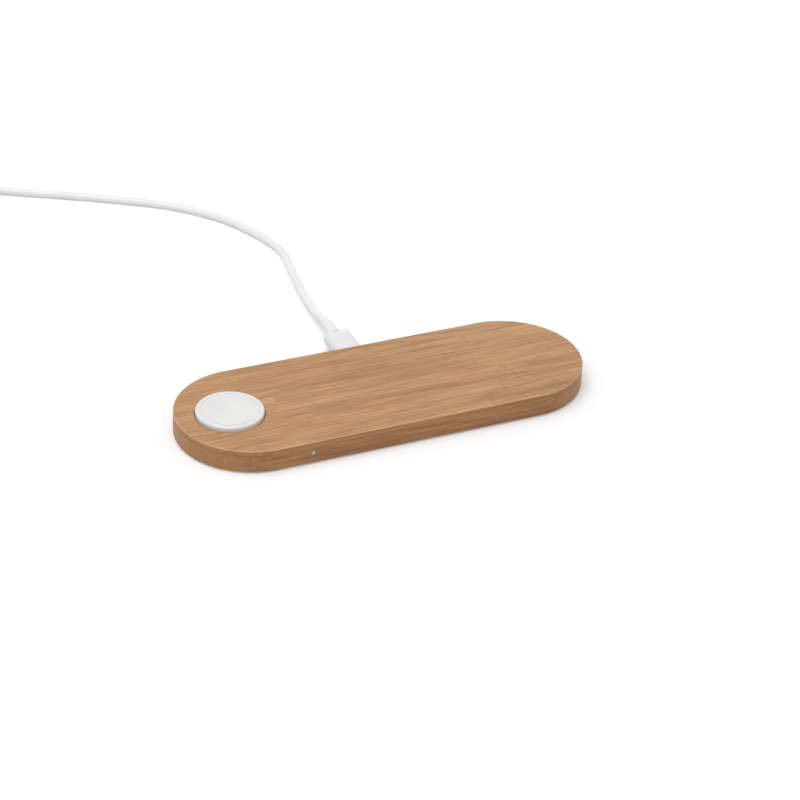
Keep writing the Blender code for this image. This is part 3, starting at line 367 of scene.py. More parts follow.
def bambooFinish(name, cut):
    shader, place = newFinish(name)
    along, across, up = axesOf(place)
    facing = axesOf(place.node.outputs["Normal"])
    seed, draws, spread = cut["seed"], bamboo["draws"], bamboo["jointSpread"]
    # glued strips side by side, some of two pieces that meet at a joint of their own
    rowAt = (across + cut["shift"]) / cut["row"]
    row = calc("FLOOR", rowAt)
    fromJoint = along - cut["joint"] - between(draw(row, seed), -spread, spread, 0.0, 1.0)
    jointed = draw(row, seed + draws["joint"]) < bamboo["jointShare"]
    piece = row * 2.0 + (fromJoint > 0.0) * jointed
    tone = draw(piece, seed + draws["piece"])
    # each piece's grain starts elsewhere, so that it stops at the seams
    offset = addNode("CombineXYZ", {0: tone * bamboo["strewn"], 1: tone, 2: row})[0]
    moved = vectorCalc("ADD", place, offset)
    fibre, streak, fleck, cloud = (
        noise(moved, *bamboo[kind]) for kind in ("fibre", "streak", "fleck", "cloud")
    )

    share, middle = bamboo["fibreShare"], noiseLook["middle"]
    level = fibre * share + cloud * (1 - share)
    # cut across, at the round ends, the fibres show as faint dots
    alongGrain = smooth(abs(facing[0]), *bamboo["endTurn"])
    strength = between(alongGrain, bamboo["endShare"], 1.0, 0.0, 1.0)
    level = (level - middle) * strength + middle + (tone - middle) * bamboo["toneSpread"]
    # a stem's joint crosses each strip once: a dark line in a paler patch
    knotAt = between(draw(row, seed + draws["knot"]), *bamboo["knotReach"], 0.0, 1.0)
    fromKnot = abs(along - (knotAt + fleck * bamboo["knotRagged"]))
    halo = smooth(fromKnot, bamboo["knotHalo"], bamboo["knotHalf"])
    knot = smooth(fromKnot, bamboo["knotHalf"], 0.0)
    level += (halo - knot * bamboo["knotDark"]) * bamboo["knotShade"]
    colour = ramp(level, bamboo["dark"], bamboo["middle"], bamboo["light"])
    streaks = smooth(streak, *bamboo["streakSpan"]) * bamboo["streakShare"]
    flecks = smooth(fleck, *bamboo["fleckSpan"]) * bamboo["fleckShare"]
    pores = calc("MAXIMUM", streaks, flecks) * strength
    colour = mix(pores, colour, bamboo["pore"])
    rowSeam = calc("PINGPONG", rowAt, 0.5) < bamboo["seam"] / cut["row"]
    jointSeam = (abs(fromJoint) < bamboo["seam"]) * jointed
    seam = calc(
        "MAXIMUM", rowSeam * bamboo["rowSeamShare"], jointSeam * bamboo["jointSeamShare"]
    )
    colour = mix(seam, colour, bamboo["pore"])
    # painted shade: faces turned sideways are tinted darker and warmer, and the top rim is painted
    # paler, partly as wear and partly as a painted highlight
    sideShadeShare = smooth(abs(facing[2]), *bamboo["sideTurn"])
    colour = mix(1.0, colour, mix(sideShadeShare, (1, 1, 1), bamboo["sideShadeTint"]), "MULTIPLY")
    # painted highlight, partly wear, in a narrow band at the top rim
    rim = smooth(fromRim(along, across), bamboo["wornHighlightBand"], 0.0)
    high = smooth(up, slab["top"] - bamboo["wornHighlightBand"], slab["top"])
    wornHighlight = rim * high * between(fibre, *bamboo["wornHighlightShare"])

    feed(shader, {
        "Base Color": mix(wornHighlight, colour, bamboo["wornHighlight"]),
        "Roughness": between(fibre, *bamboo["roughness"]),
        "Specular IOR Level": bamboo["specular"],
    })
    sunk = calc("MAXIMUM", seam, pores * bamboo["poreDepthShare"])
    addBump(shader, fibre - sunk, bamboo["depth"])


glueLook = {
    "colour": (0.42, 0.215, 0.095),
    "dark": (0.15, 0.062, 0.026),
    "darkFrom": (0.058, 0.074),  # where it starts and is full, along the slab
    "darkShare": (0.2, 1.0),
    "darkSpan": (0.4, 0.6),
    "grain": ((160, 420, 420), 3.0, 0.6),
    "roughness": 0.6,
}


def glueFinish():  # hard to see along the straight sides, darker at the round ends
    shader, place = newFinish("glue line")
    grain = noise(place, *glueLook["grain"])
    atEnd = smooth(abs(axesOf(place)[0]), *glueLook["darkFrom"])
    dark = atEnd * between(grain, *glueLook["darkShare"], *glueLook["darkSpan"])
    feed(shader, {
        "Base Color": mix(dark, glueLook["colour"], glueLook["dark"]),
        "Roughness": glueLook["roughness"],
        "Specular IOR Level": bamboo["specular"],
    })
    addBump(shader, grain, bamboo["depth"])


metal = {"Metallic": 1.0}
# colour, shade, the mottle's size, the grain's size and depth, roughness, other sockets, stretch
looks = {
    "puck plastic": ((0.80, 0.80, 0.79), (0.76, 0.76, 0.755), 0.012, 0.00035, 0.000006, (0.26, 0.34)),
    "base plastic": (
        (0.030, 0.030, 0.032), (0.022, 0.022, 0.024), 0.006, 0.00045, 0.00005, (0.5, 0.66),
    ),
    "foot rubber": ((0.032, 0.032, 0.033), (0.022, 0.022, 0.022), 0.002, 0.0003, 0.00003, (0.75, 0.92)),
    "screw steel": (
        (0.46, 0.46, 0.48), (0.38, 0.38, 0.40), 0.0008, 0.0002, 0.000004, (0.24, 0.38),
        metal,
    ),
    "cord sleeve": (
        (0.875, 0.875, 0.875), (0.84, 0.84, 0.845), 0.015, 0.0006, 0.000012, (0.3, 0.42),
        {"Coat Weight": 0.15, "Coat Roughness": 0.2},
    ),
    "grip plastic": ((0.82, 0.82, 0.815), (0.78, 0.78, 0.78), 0.01, 0.0004, 0.00002, (0.42, 0.54)),
    "plug steel": (
        (0.52, 0.52, 0.53), (0.44, 0.44, 0.45), 0.001, 0.0002, 0.000003, (0.2, 0.32),
        metal, (1, 0.08, 1),
    ),
    "contact gold": (
        (0.78, 0.55, 0.24), (0.70, 0.48, 0.20), 0.001, 0.0002, 0.000002, (0.22, 0.3),
        metal,
    ),
    "tie band": (
        (0.66, 0.66, 0.66), (0.52, 0.52, 0.53), 0.0007, 0.00022, 0.00012, (0.75, 0.95),
        {"Sheen Weight": 0.35},
    ),
    "copper wire": (
        (0.60, 0.25, 0.115), (0.50, 0.20, 0.09), 0.004, 0.0004, 0.000008, (0.24, 0.36),
        {"Metallic": 1.0, "Coat Weight": 0.5, "Coat Roughness": 0.15},
    ),
    "ferrite": ((0.070, 0.070, 0.074), (0.045, 0.045, 0.048), 0.0012, 0.00025, 0.00003, (0.55, 0.8)),
    "foam": ((0.105, 0.105, 0.11), (0.04, 0.04, 0.043), 0.0006, 0.0007, 0.00025, (0.85, 1.0)),
    "magnet nickel": (
        (0.60, 0.59, 0.57), (0.52, 0.51, 0.50), 0.002, 0.0003, 0.000004, (0.16, 0.28),
        metal,
    ),
    "black resin": ((0.022, 0.022, 0.024), (0.016, 0.016, 0.018), 0.001, 0.00015, 0.00001, (0.35, 0.5)),
    "inductor ferrite": (
        (0.12, 0.12, 0.13), (0.085, 0.085, 0.092), 0.0015, 0.0003, 0.00003, (0.45, 0.65),
    ),
    "lamp chip": ((0.78, 0.70, 0.30), (0.70, 0.62, 0.26), 0.0008, 0.0002, 0.00001, (0.3, 0.45)),
    "wire sleeve": ((0.50, 0.035, 0.028), (0.40, 0.026, 0.02), 0.003, 0.0004, 0.00001, (0.35, 0.5)),
    "tongue resin": ((0.78, 0.78, 0.76), (0.72, 0.72, 0.70), 0.003, 0.0003, 0.00001, (0.38, 0.5)),
}
for name, look in looks.items():
    surfaceFinish(name, *look)
for part in ("top", "side"):
    bambooFinish("bamboo " + part, bamboo[part])
glueFinish()


capacitorLook = {
    "ceramic": (0.40, 0.26, 0.15),
    "shadeShare": 0.85,
    "metal": (0.62, 0.61, 0.58),
    "capLength": 0.0007,
    "roughness": 0.42,
    "grain": 0.0002,
    "depth": 0.000008,
}


def capacitorFinish(name, centreX, halfLength):
    shader, place = newFinish(name)
    end = abs(axesOf(place)[0] - centreX) > halfLength - capacitorLook["capLength"]
    grain = evenNoise(place, capacitorLook["grain"])
    shade = Vector(capacitorLook["ceramic"]) * capacitorLook["shadeShare"]
    body = mottled(grain, shade, capacitorLook["ceramic"])
    feed(shader, {
        "Base Color": mix(end, body, capacitorLook["metal"]),
        "Metallic": end,
        "Roughness": capacitorLook["roughness"],
    })
    addBump(shader, grain, capacitorLook["depth"])


boardLook = {
    "mask": (0.012, 0.105, 0.045),
    "trace": (0.03, 0.20, 0.085),
    "tin": (0.62, 0.61, 0.57),
    "traceStep": 0.00275,
    "traceScatter": 0.75,
    "traceFold": 0.22,
    "traceShare": 0.07,
    "padStep": 0.0034,
    "padScatter": 0.6,
    "padShare": 0.10,
    "weave": 0.0003,
    "weaveDepthShare": 0.2,
    "roughness": (0.3, 0.42),
    "depth": 0.00003,
}


def cellsOf(place, step, scatter, distance):
    inputs = {"Vector": place, "Scale": 1 / step, "Randomness": scatter}
    return Number(addNode("TexVoronoi", inputs, distance=distance, voronoi_dimensions="2D")[0])


def boardFinish():
    shader, place = newFinish("board laminate")
    cells = cellsOf(place, boardLook["traceStep"], boardLook["traceScatter"], "CHEBYCHEV")
    trace = calc("PINGPONG", cells, boardLook["traceFold"]) < boardLook["traceShare"]
    pads = cellsOf(place, boardLook["padStep"], boardLook["padScatter"], "EUCLIDEAN")
    via = pads < boardLook["padShare"]
    weave = evenNoise(place, boardLook["weave"], detail=1.0)
    colour = mix(trace, boardLook["mask"], boardLook["trace"])
    feed(shader, {
        "Base Color": mix(via, colour, boardLook["tin"]),
        "Metallic": via,
        "Roughness": between(weave, *boardLook["roughness"]),
    })
    addBump(shader, trace + weave * boardLook["weaveDepthShare"], boardLook["depth"])


boardFinish()
print("finishes ready:", len(finishes))


# ways of shaping

def sweepSlab(points, closed=False):  # a profile of (inset, height) carried round the slab
    bm = bmesh.new()
    ends = []
    for side in (1, -1):
        x = side * slab["endX"]
        verts = []
        for inset, height in points:
            verts.append(bm.verts.new((x, side * (inset - slab["halfWidth"]), height)))
        edges = [bm.edges.new(pair) for pair in zip(verts, verts[1:])]
        if closed:
            edges.append(bm.edges.new((verts[-1], verts[0])))
        spun = bmesh.ops.spin(
            bm, geom=verts + edges, cent=(x, 0, 0), axis=(0, 0, 1),
            angle=pi, steps=slab["arcSteps"],
        )["geom_last"]
        ends.append((edges, [item for item in spun if isinstance(item, bmesh.types.BMEdge)]))
    for number in range(2):
        bmesh.ops.bridge_loops(bm, edges=ends[number][1] + ends[1 - number][0])
    return bm


def slabInset(point):
    beyond = max(0.0, abs(point.x) - slab["endX"])
    return slab["halfWidth"] - hypot(beyond, point.y)


def revolve(points, steps):  # a profile of (radius, height) turned about Z
    bm = bmesh.new()
    verts = [bm.verts.new((radius, 0, height)) for radius, height in points]
    edges = [bm.edges.new(pair) for pair in zip(verts, verts[1:])]
    bmesh.ops.spin(
        bm, geom=verts + edges, cent=(0, 0, 0), axis=(0, 0, 1),
        angle=2 * pi, steps=steps, use_merge=True,
    )
    bmesh.ops.remove_doubles(bm, verts=bm.verts, dist=fit["merge"])
    return bm


def close(a, b):
    return abs(a - b) < fit["near"]


def edgesWhere(bm, test):  # both ends of an edge pass the test
    return [edge for edge in bm.edges if all(test(vert.co) for vert in edge.verts)]


def roundEdges(bm, edges, size, segments):
    bmesh.ops.bevel(
        bm, geom=edges, offset=size, segments=segments, profile=0.5, affect="EDGES", material=-1
    )


def roundLoop(bm, reach, height, size, segments, measure=slabInset):
    loop = edgesWhere(bm, lambda point: close(measure(point), reach) and close(point.z, height))
    roundEdges(bm, loop, size, segments)


def fromAxis(point):
    return hypot(point.x, point.y)


def roundRing(bm, radius, height, size, segments):
    roundLoop(bm, radius, height, size, segments, fromAxis)


def fillLevel(bm, height):  # closes the flat face between the open loops at this height
    edges = edgesWhere(bm, lambda point: close(point.z, height))
    edges = [edge for edge in edges if edge.is_boundary]
    bmesh.ops.triangle_fill(bm, use_beauty=True, use_dissolve=False, edges=edges)


def addBlock(bm, low, high):
    middle = [(a + b) / 2 for a, b in zip(low, high)]
    sides = [b - a for a, b in zip(low, high)]
    matrix = Matrix.Translation(middle) @ Matrix.Diagonal((*sides, 1))
    return bmesh.ops.create_cube(bm, size=1, matrix=matrix)["verts"]


def addRod(bm, radius, start, end, steps=48):
    start, end = Vector(start), Vector(end)
    turn = (end - start).to_track_quat("Z", "Y").to_matrix().to_4x4()
    bmesh.ops.create_cone(
        bm, cap_ends=True, segments=steps, radius1=radius, radius2=radius, depth=(end - start).length,
        matrix=Matrix.Translation((start + end) / 2) @ turn,
    )


def barAlongY(width, height, start, end, corner, segments=10):  # a bar with rounded long edges
    bm = bmesh.new()
    addBlock(bm, (-width / 2, start, -height / 2), (width / 2, end, height / 2))
    sides = [edge for edge in bm.edges if not close(*(vert.co.y for vert in edge.verts))]
    roundEdges(bm, sides, corner, segments)
    return bm


def roundBarEnd(bm, at, size, segments):
    roundEdges(bm, edgesWhere(bm, lambda point: close(point.y, at)), size, segments)


def shift(bm, matrix):
    if not isinstance(matrix, Matrix):
        matrix = Matrix.Translation(matrix)
    bmesh.ops.transform(bm, matrix=matrix, verts=bm.verts)
    return bm


layAlongY = Matrix.Rotation(-pi / 2, 4, "X")


def makeMesh(name, bm):
    bmesh.ops.remove_doubles(bm, verts=bm.verts, dist=fit["merge"])
    bmesh.ops.recalc_face_normals(bm, faces=bm.faces)
    mesh = bpy.data.meshes.new(name)
    bm.to_mesh(mesh)
    bm.free()
    return mesh


def carve(mesh, cutter, operation="DIFFERENCE"):  # the mesh less, or joined with, the cutter
    whole = addObject("whole", mesh)
    other = addObject("cutter", makeMesh("cutter", cutter))
    modifier = whole.modifiers.new("carve", "BOOLEAN")
    modifier.operation = operation
    modifier.solver = "EXACT"
    modifier.object = other
    bpy.context.view_layer.update()
    graph = bpy.context.evaluated_depsgraph_get()
    carved = bpy.data.meshes.new_from_object(whole.evaluated_get(graph))
    bpy.data.objects.remove(whole)
    bpy.data.objects.remove(other)
    return carved


def takeIn(bm, other):  # adds another bmesh's shapes to this one
    spare = bpy.data.meshes.new("spare")
    other.to_mesh(spare)
    other.free()
    bm.from_mesh(spare)
    bpy.data.meshes.remove(spare)


def addPiece(name, shape, finish, body, slotName, *nodes, place=Matrix()):
    mesh = makeMesh(name, shape) if isinstance(shape, bmesh.types.BMesh) else shape
    mesh.transform(place)
    mesh.materials.clear()
    mesh.materials.append(finishes[finish])
    mesh.shade_smooth()
    mesh.set_sharp_from_angle(angle=radians(fit["sharpAngle"]))
    piece = addObject(name, mesh)
    piece.modifiers.new("even shading", "WEIGHTED_NORMAL").keep_sharp = True
    return settle(piece, body, slotName, *nodes)


def settle(piece, body, slotName, *nodes):
    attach(piece, body)
    if nodes:
        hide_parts(*nodes)
    return piece


# supply cord: a free stretch over the table, then the stored coil and its tail

cordShape = {
    "diameter": 0.0036,
    "step": 0.0078,
    "coilGap": 0.0005,
    "meanRadius": 0.0187,
    "turns": 6,
    "endTurn": 1 / 3,
    "flare": 0.002,
    "centre": (-0.1340, 0.2310),
    "startAngle": radians(62),
    "tieFromStart": -2 * pi / 3,
    "loopSteps": 24,
    "tailLength": 0.018,
    "tieThickness": 0.0006,
    "tieWidth": 0.006,
    "tieLiftLength": 0.009,
    "curveSteps": 24,  # between two points of the route, for measuring along it
    "sideSteps": 5,
    "lengthSteps": 5,
    "route": [
        (0.0004, 0.0745, 0.0041),
        (0.0019, 0.0890, 0.0022),
        (0.0040, 0.1045, 0.0018),
        (0.0064, 0.1205, 0.0018),
        (0.0083, 0.1330, 0.0018),
        (0.0070, 0.1440, 0.0018),
        (0.0020, 0.1585, 0.0018),
        (-0.0075, 0.1765, 0.0018),
        (-0.0250, 0.1950, 0.0018),
        (-0.0480, 0.2103, 0.0018),
        (-0.0730, 0.2245, 0.0018),
        (-0.0960, 0.2370, 0.0018),
    ],
}
farGripTall = sizeOf("far_grip").z  # it lies on the table
coilPitch = cordShape["diameter"] + cordShape["coilGap"]
layerTurns = cordShape["turns"] / 2
coilInner = cordShape["meanRadius"] - coilPitch * layerTurns / 2
tieDirection = cordShape["startAngle"] + cordShape["tieFromStart"]


def coilPoint(angle):  # in on the lower layer, up in half a turn where it reverses, and out again
    turned = angle / (2 * pi)
    leaving = max(0.0, (turned - cordShape["turns"]) / cordShape["endTurn"])
    radius = coilInner + coilPitch * abs(turned - layerTurns) + cordShape["flare"] * leaving
    climb = min(1.0, max(0.0, (turned - layerTurns) * 2 + 0.5))
    height = cordShape["diameter"] / 2 + coilPitch * climb * climb * (3 - 2 * climb)
    height += (farGripTall / 2 - height) * leaving * leaving
    direction = cordShape["startAngle"] + angle
    away = sin((direction - tieDirection) / 2) * 2 * cordShape["meanRadius"]
    away /= cordShape["tieLiftLength"]
    height += (cordShape["tieThickness"] + seat) * 2 ** (-away * away)
    centre = cordShape["centre"]
    return Vector((centre[0] + radius * cos(direction), centre[1] + radius * sin(direction), height))


def coilHeading(angle):
    way = coilPoint(angle + radians(1)) - coilPoint(angle)
    way.z = 0
    return way.normalized()


def smoothRoute(route, step):
    points = [Vector(point) for point in route]
    ends = [points[0] * 2 - points[1]] + points + [points[-1] * 2 - points[-2]]
    steps = cordShape["curveSteps"]
    dense = []
    for before, start, end, after in zip(ends, ends[1:], ends[2:], ends[3:]):
        span = (end - start).length
        leave = (end - before).normalized() * span / 3
        arrive = (after - start).normalized() * span / 3
        dense += interpolate_bezier(start, start + leave, end - arrive, end, steps)[:-1]
    dense.append(points[-1])
    walked = np.cumsum([0.0] + [(b - a).length for a, b in zip(dense, dense[1:])])
    wanted = np.linspace(0.0, walked[-1], max(2, round(walked[-1] / step)) + 1)
    axes = np.array([tuple(point) for point in dense])
    return [Vector([np.interp(at, walked, axes[:, axis]) for axis in range(3)]) for at in wanted]


def addTube(name, points, diameter):
    curve = bpy.data.curves.new(name, "CURVE")
    curve.dimensions = "3D"
    curve.bevel_depth = diameter / 2
    curve.bevel_resolution = cordShape["sideSteps"]
    curve.use_fill_caps = True
    curve.resolution_u = cordShape["lengthSteps"]
    spline = curve.splines.new("BEZIER")
    spline.bezier_points.add(len(points) - 1)
    for target, point in zip(spline.bezier_points, points):
        target.co = point
        target.handle_left_type = "AUTO"
        target.handle_right_type = "AUTO"
    return addObject(name, curve)


def makeCord():
    thick = cordShape["diameter"]
    exitPoint = Vector((0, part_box("plug_relief")[1].y + seat, middleOf("plug_relief").z))
    heading = coilHeading(0)
    meet = coilPoint(0) - heading * (thick + seat)
    route = [exitPoint, exitPoint + Vector((0, thick, 0))] + [Vector(p) for p in cordShape["route"]]
    route += [meet - heading * thick * 2, meet - heading * thick, meet]
    points = smoothRoute(route, cordShape["step"])
    points = [exitPoint, route[1]] + points[1:-1]
    end = 2 * pi * (cordShape["turns"] + cordShape["endTurn"])
    steps = round(end / (2 * pi) * cordShape["loopSteps"])
    points += [coilPoint(end * step / steps) for step in range(steps + 1)]
    tailHeading = coilHeading(end)
    tailEnd = points[-1] + tailHeading * cordShape["tailLength"]
    points += [tailEnd - tailHeading * thick, tailEnd]
    length = sum((b - a).length for a, b in zip(points, points[1:]))
    cord = addTube("supplyCord", points, thick)
    cord.data.materials.append(finishes["cord sleeve"])
    settle(cord, "cable", "cord_white", "cord", "cord_coil")
    return cord, exitPoint, length, tailEnd, tailHeading


cord, cordExit, cordLength, tailEnd, tailHeading = makeCord()
print(f"cord ready: {cordLength:.3f} m")


# bamboo: the top sheet, the frame under it and the glue between them

topShape = {
    "edge": (0.0005, 8),  # a rounded edge's size and segments, as in every dictionary below
    "lowerEdge": (0.00006, 2),
    "flatBand": 0.003,
    "holeEdge": (0.0002, 3),
    "holeBand": 0.0006,
}
puckLow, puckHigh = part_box("watch_puck")
puckX = middleOf("watch_puck").x
puckShape = {
    "flange": 0.0017,
    "flangeThickness": 0.0008,
    "rim": 0.0021,
    "dishDepth": 0.001,
    "edge": (0.0009, 8),
    "wall": 0.0012,
    "dishSteps": 14,
    "dishEdge": (0.00025, 4),
    "grooveWidth": 0.00025,
    "grooveDepth": 0.0002,
    "grooveEdge": (0.00007, 2),
    "dishRoughness": 0.1,
    "roundSteps": 128,
}
puckShape["radius"] = puckHigh.x - puckX - puckShape["flange"]


def makeTopPanel():
    low, high = levelsOf("top_panel")
    band = topShape["flatBand"]
    bm = sweepSlab([(band, low), (0, low), (0, high), (band, high)])
    roundLoop(bm, 0, high, *topShape["edge"])
    roundLoop(bm, 0, low, *topShape["lowerEdge"])
    radius = puckShape["radius"] + seat
    wide = radius + topShape["holeBand"]
    profile = [(wide, low), (radius, low), (radius, high), (wide, high)]
    hole = revolve(profile, puckShape["roundSteps"])
    roundRing(hole, radius, high, *topShape["holeEdge"])
    takeIn(bm, shift(hole, (puckX, 0, 0)))
    for height in (low, high):
        fillLevel(bm, height)
    addPiece("topPanel", bm, "bamboo top", "station", "bamboo_top", "top_panel")


frameShape = {
    "wall": 0.0065,
    "rim": 0.002,
    "lowerEdge": (0.0005, 5),
    "upperEdge": (0.00006, 2),
    "lampHole": 0.00105,
    "pilot": 0.001,
    "pilotSteps": 24,
    "pocketHalf": 0.0073,
    "skin": 0.0017,
    "mouthSegments": 14,
}
slabBottom, frameTop = levelsOf("frame_ring")
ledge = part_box("phone_pad")[0].z  # the pads lie on the base plate as the ledge does
inletZ = middleOf("inlet_shell").z
lensX, _, lensZ = middleOf("lamp_lens")
screwNames = [f"screw_{number}" for number in range(1, 7)]
footNames = [f"foot_{number}" for number in range(1, 5)]


def makeFrame():
    wall, rim = frameShape["wall"], frameShape["rim"]
    corners = [
        (0, slabBottom), (0, frameTop), (wall, frameTop),
        (wall, ledge), (rim, ledge), (rim, slabBottom),
    ]
    bm = sweepSlab(corners, closed=True)
    roundLoop(bm, 0, slabBottom, *frameShape["lowerEdge"])
    roundLoop(bm, 0, frameTop, *frameShape["upperEdge"])
    roundLoop(bm, rim, slabBottom, *frameShape["upperEdge"])

    cuts = bmesh.new()
    outer = slab["halfWidth"]
    inner = outer - wall
    pocketEnd = outer - frameShape["skin"]
    half, start = frameShape["pocketHalf"], ledge - overrun
    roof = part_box("inlet_shell")[1].z + seat
    addBlock(cuts, (-half, inner - overrun, start), (half, pocketEnd, roof))
    lampHole = [(lensX, y, lensZ) for y in (-outer - overrun, overrun - inner)]
    addRod(cuts, frameShape["lampHole"], *lampHole)
    for name in screwNames:
        x, y, _ = middleOf(name)
        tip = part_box(name)[1].z + seat
        addRod(cuts, frameShape["pilot"], (x, y, start), (x, y, tip), frameShape["pilotSteps"])
    mesh = carve(makeMesh("frameRing", bm), cuts)
    width, _, height = [side + 2 * seat for side in sizeOf("inlet_shell")]
    mouth = barAlongY(
        width, height, pocketEnd - overrun, outer + overrun,
        height / 2 - fit["flat"], frameShape["mouthSegments"],
    )
    mesh = carve(mesh, shift(mouth, (0, 0, inletZ)))
    addPiece("frameRing", mesh, "bamboo side", "station", "bamboo_frame", "frame_ring")


def makeGlueLine():
    inset, rim = frameShape["upperEdge"][0], frameShape["rim"]
    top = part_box("top_panel")[0].z
    line = sweepSlab([(inset, frameTop), (inset, top), (rim, top), (rim, frameTop)], closed=True)
    addPiece("glueLine", line, "glue line", "station", "bamboo_frame")


makeTopPanel()
makeFrame()
makeGlueLine()
print("bamboo ready")


# base plate with its screws and feet

plateShape = {
    "edge": (0.0003, 4),
    "flatBand": 0.004,
    "sunk": 0.0002,
    "headRadius": 0.0016,
    "shankRadius": 0.0007,
    "headDepth": 0.001,
    "screwSteps": 40,
    "footSteps": 64,
    "bossRadius": 0.002,
    "pinRadius": 0.0007,
    "bossInset": 0.003,
    "bossSteps": 32,
    "ribWidth": 0.004,
    "ribThickness": 0.001,
}
plateTop = ledge - seat
boardLow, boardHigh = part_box("main_board")


def bossPlaces():  # two at the board's front corners and one at its back
    inset = plateShape["bossInset"]
    right = boardHigh.x - inset
    left = 2 * middleOf("driver_chip").x - right
    front = boardLow.y + inset
    back = slab["halfWidth"] - frameShape["wall"] - inset - 2 * seat
    return [(left, front), (right, front), (right, back)]


def makeBasePlate():
    low, high = levelsOf("base_plate")
    inset = frameShape["rim"] + seat
    band = inset + plateShape["flatBand"]
    bm = sweepSlab([(band, plateTop), (inset, plateTop), (inset, low), (band, low)])
    roundLoop(bm, inset, low, *plateShape["edge"])
    for height in (low, plateTop):
        fillLevel(bm, height)

    wide, narrow = plateShape["headRadius"] + seat, plateShape["shankRadius"] + seat
    seatZ = low + plateShape["sunk"]
    start, end = low - overrun, plateTop + overrun
    sink = [
        (0, start), (wide, start), (wide, seatZ),
        (narrow, seatZ + plateShape["headDepth"]), (narrow, end), (0, end),
    ]
    cuts = bmesh.new()
    for name in screwNames:
        x, y, _ = middleOf(name)
        takeIn(cuts, shift(revolve(sink, plateShape["screwSteps"]), (x, y, 0)))
    for name in footNames:
        x, y, _ = middleOf(name)
        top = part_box(name)[1].z + seat
        radius = sizeOf(name).x / 2 + seat
        addRod(cuts, radius, (x, y, start), (x, y, top), plateShape["footSteps"])
    mesh = carve(makeMesh("basePlate", bm), cuts)

    posts = bmesh.new()
    foot = (low + plateTop) / 2
    rest = boardLow.z - seat
    tip = min(high, boardHigh.z + 2 * seat)  # the pins stand a little over the board
    boss, pin = plateShape["bossRadius"], plateShape["pinRadius"]
    profile = [(0, foot), (boss, foot), (boss, rest), (pin, rest), (pin, tip), (0, tip)]
    for x, y in bossPlaces():
        takeIn(posts, shift(revolve(profile, plateShape["bossSteps"]), (x, y, 0)))
    half = plateShape["ribWidth"] / 2
    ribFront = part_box("lamp_board")[1].y + seat
    ribBack = ribFront + plateShape["ribThickness"]
    addBlock(posts, (lensX - half, ribFront, foot), (lensX + half, ribBack, lensZ))
    mesh = carve(mesh, posts, "UNION")
    addPiece("basePlate", mesh, "base plastic", "station", "base_plastic", "base_plate")


footShape = {
    "edge": (0.0004, 5),
    "upperEdge": (0.0001, 2),
    "hollow": 0.00018,
    "hollowShare": 0.62,
    "slope": 0.0004,
    "roundSteps": 72,
}


def makeFeet():
    for number, name in enumerate(footNames, 1):
        width, _, thick = sizeOf(name)
        radius = width / 2
        inner, hollow = radius * footShape["hollowShare"], footShape["hollow"]
        profile = [
            (0, hollow), (inner, hollow), (inner + footShape["slope"], 0),
            (radius, 0), (radius, thick), (0, thick),
        ]
        bm = revolve(profile, footShape["roundSteps"])
        roundRing(bm, radius, 0, *footShape["edge"])
        roundRing(bm, radius, thick, *footShape["upperEdge"])
        x, y, _ = middleOf(name)
        shift(bm, (x, y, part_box(name)[0].z))
        addPiece(f"foot{number}", bm, "foot rubber", "station", "foot_rubber", name)


screwShape = {
    "slotWidth": 0.0006,
    "slotDepth": 0.0006,
    "slotReach": 0.00105,
    "taperShare": 0.72,  # a driver's tip tapers, and so does the slot
    "edge": (0.00008, 2),
    "tip": 0.0007,
    "roundSteps": 48,
}


def makeScrews():
    low, high = levelsOf("screw_1")
    head, shank = plateShape["headRadius"], plateShape["shankRadius"]
    neck = low + plateShape["headDepth"]
    profile = [(0, low), (head, low), (shank, neck), (shank, high - screwShape["tip"]), (0, high)]
    bm = revolve(profile, screwShape["roundSteps"])
    roundRing(bm, head, low, *screwShape["edge"])
    blank = makeMesh("screw", bm)
    half, reach = screwShape["slotWidth"] / 2, screwShape["slotReach"]
    taper = screwShape["taperShare"]
    for x, y in ((reach, half), (half, reach)):
        slot = bmesh.new()
        verts = addBlock(slot, (-x, -y, low - overrun), (x, y, low + screwShape["slotDepth"]))
        deep = [vert for vert in verts if vert.co.z > low]
        bmesh.ops.scale(slot, vec=(taper, taper, 1), verts=deep)
        blank = carve(blank, slot)
    for number, name in enumerate(screwNames, 1):
        x, y, _ = middleOf(name)
        place = Matrix.Translation((x, y, 0))
        mesh = blank.copy()
        addPiece(f"screw{number}", mesh, "screw steel", "station", "screw_steel", name, place=place)


makeBasePlate()
makeFeet()
makeScrews()
print("underside ready")


# watch puck

def puckFinish(dishRadius):  # fine-grained plastic with a polished dish
    shader, place = surfaceFinish("polished puck", *looks["puck plastic"])
    flat = vectorCalc("MULTIPLY", place, (1, 1, 0))
    away = vectorCalc("DISTANCE", flat, (puckX, 0, 0))
    rim = smooth(away, dishRadius - puckShape["grooveWidth"], dishRadius)
    grained = shader.inputs["Roughness"].links[0].from_socket
    feed(shader, {"Roughness": between(rim, puckShape["dishRoughness"], grained, 0.0, 1.0)})


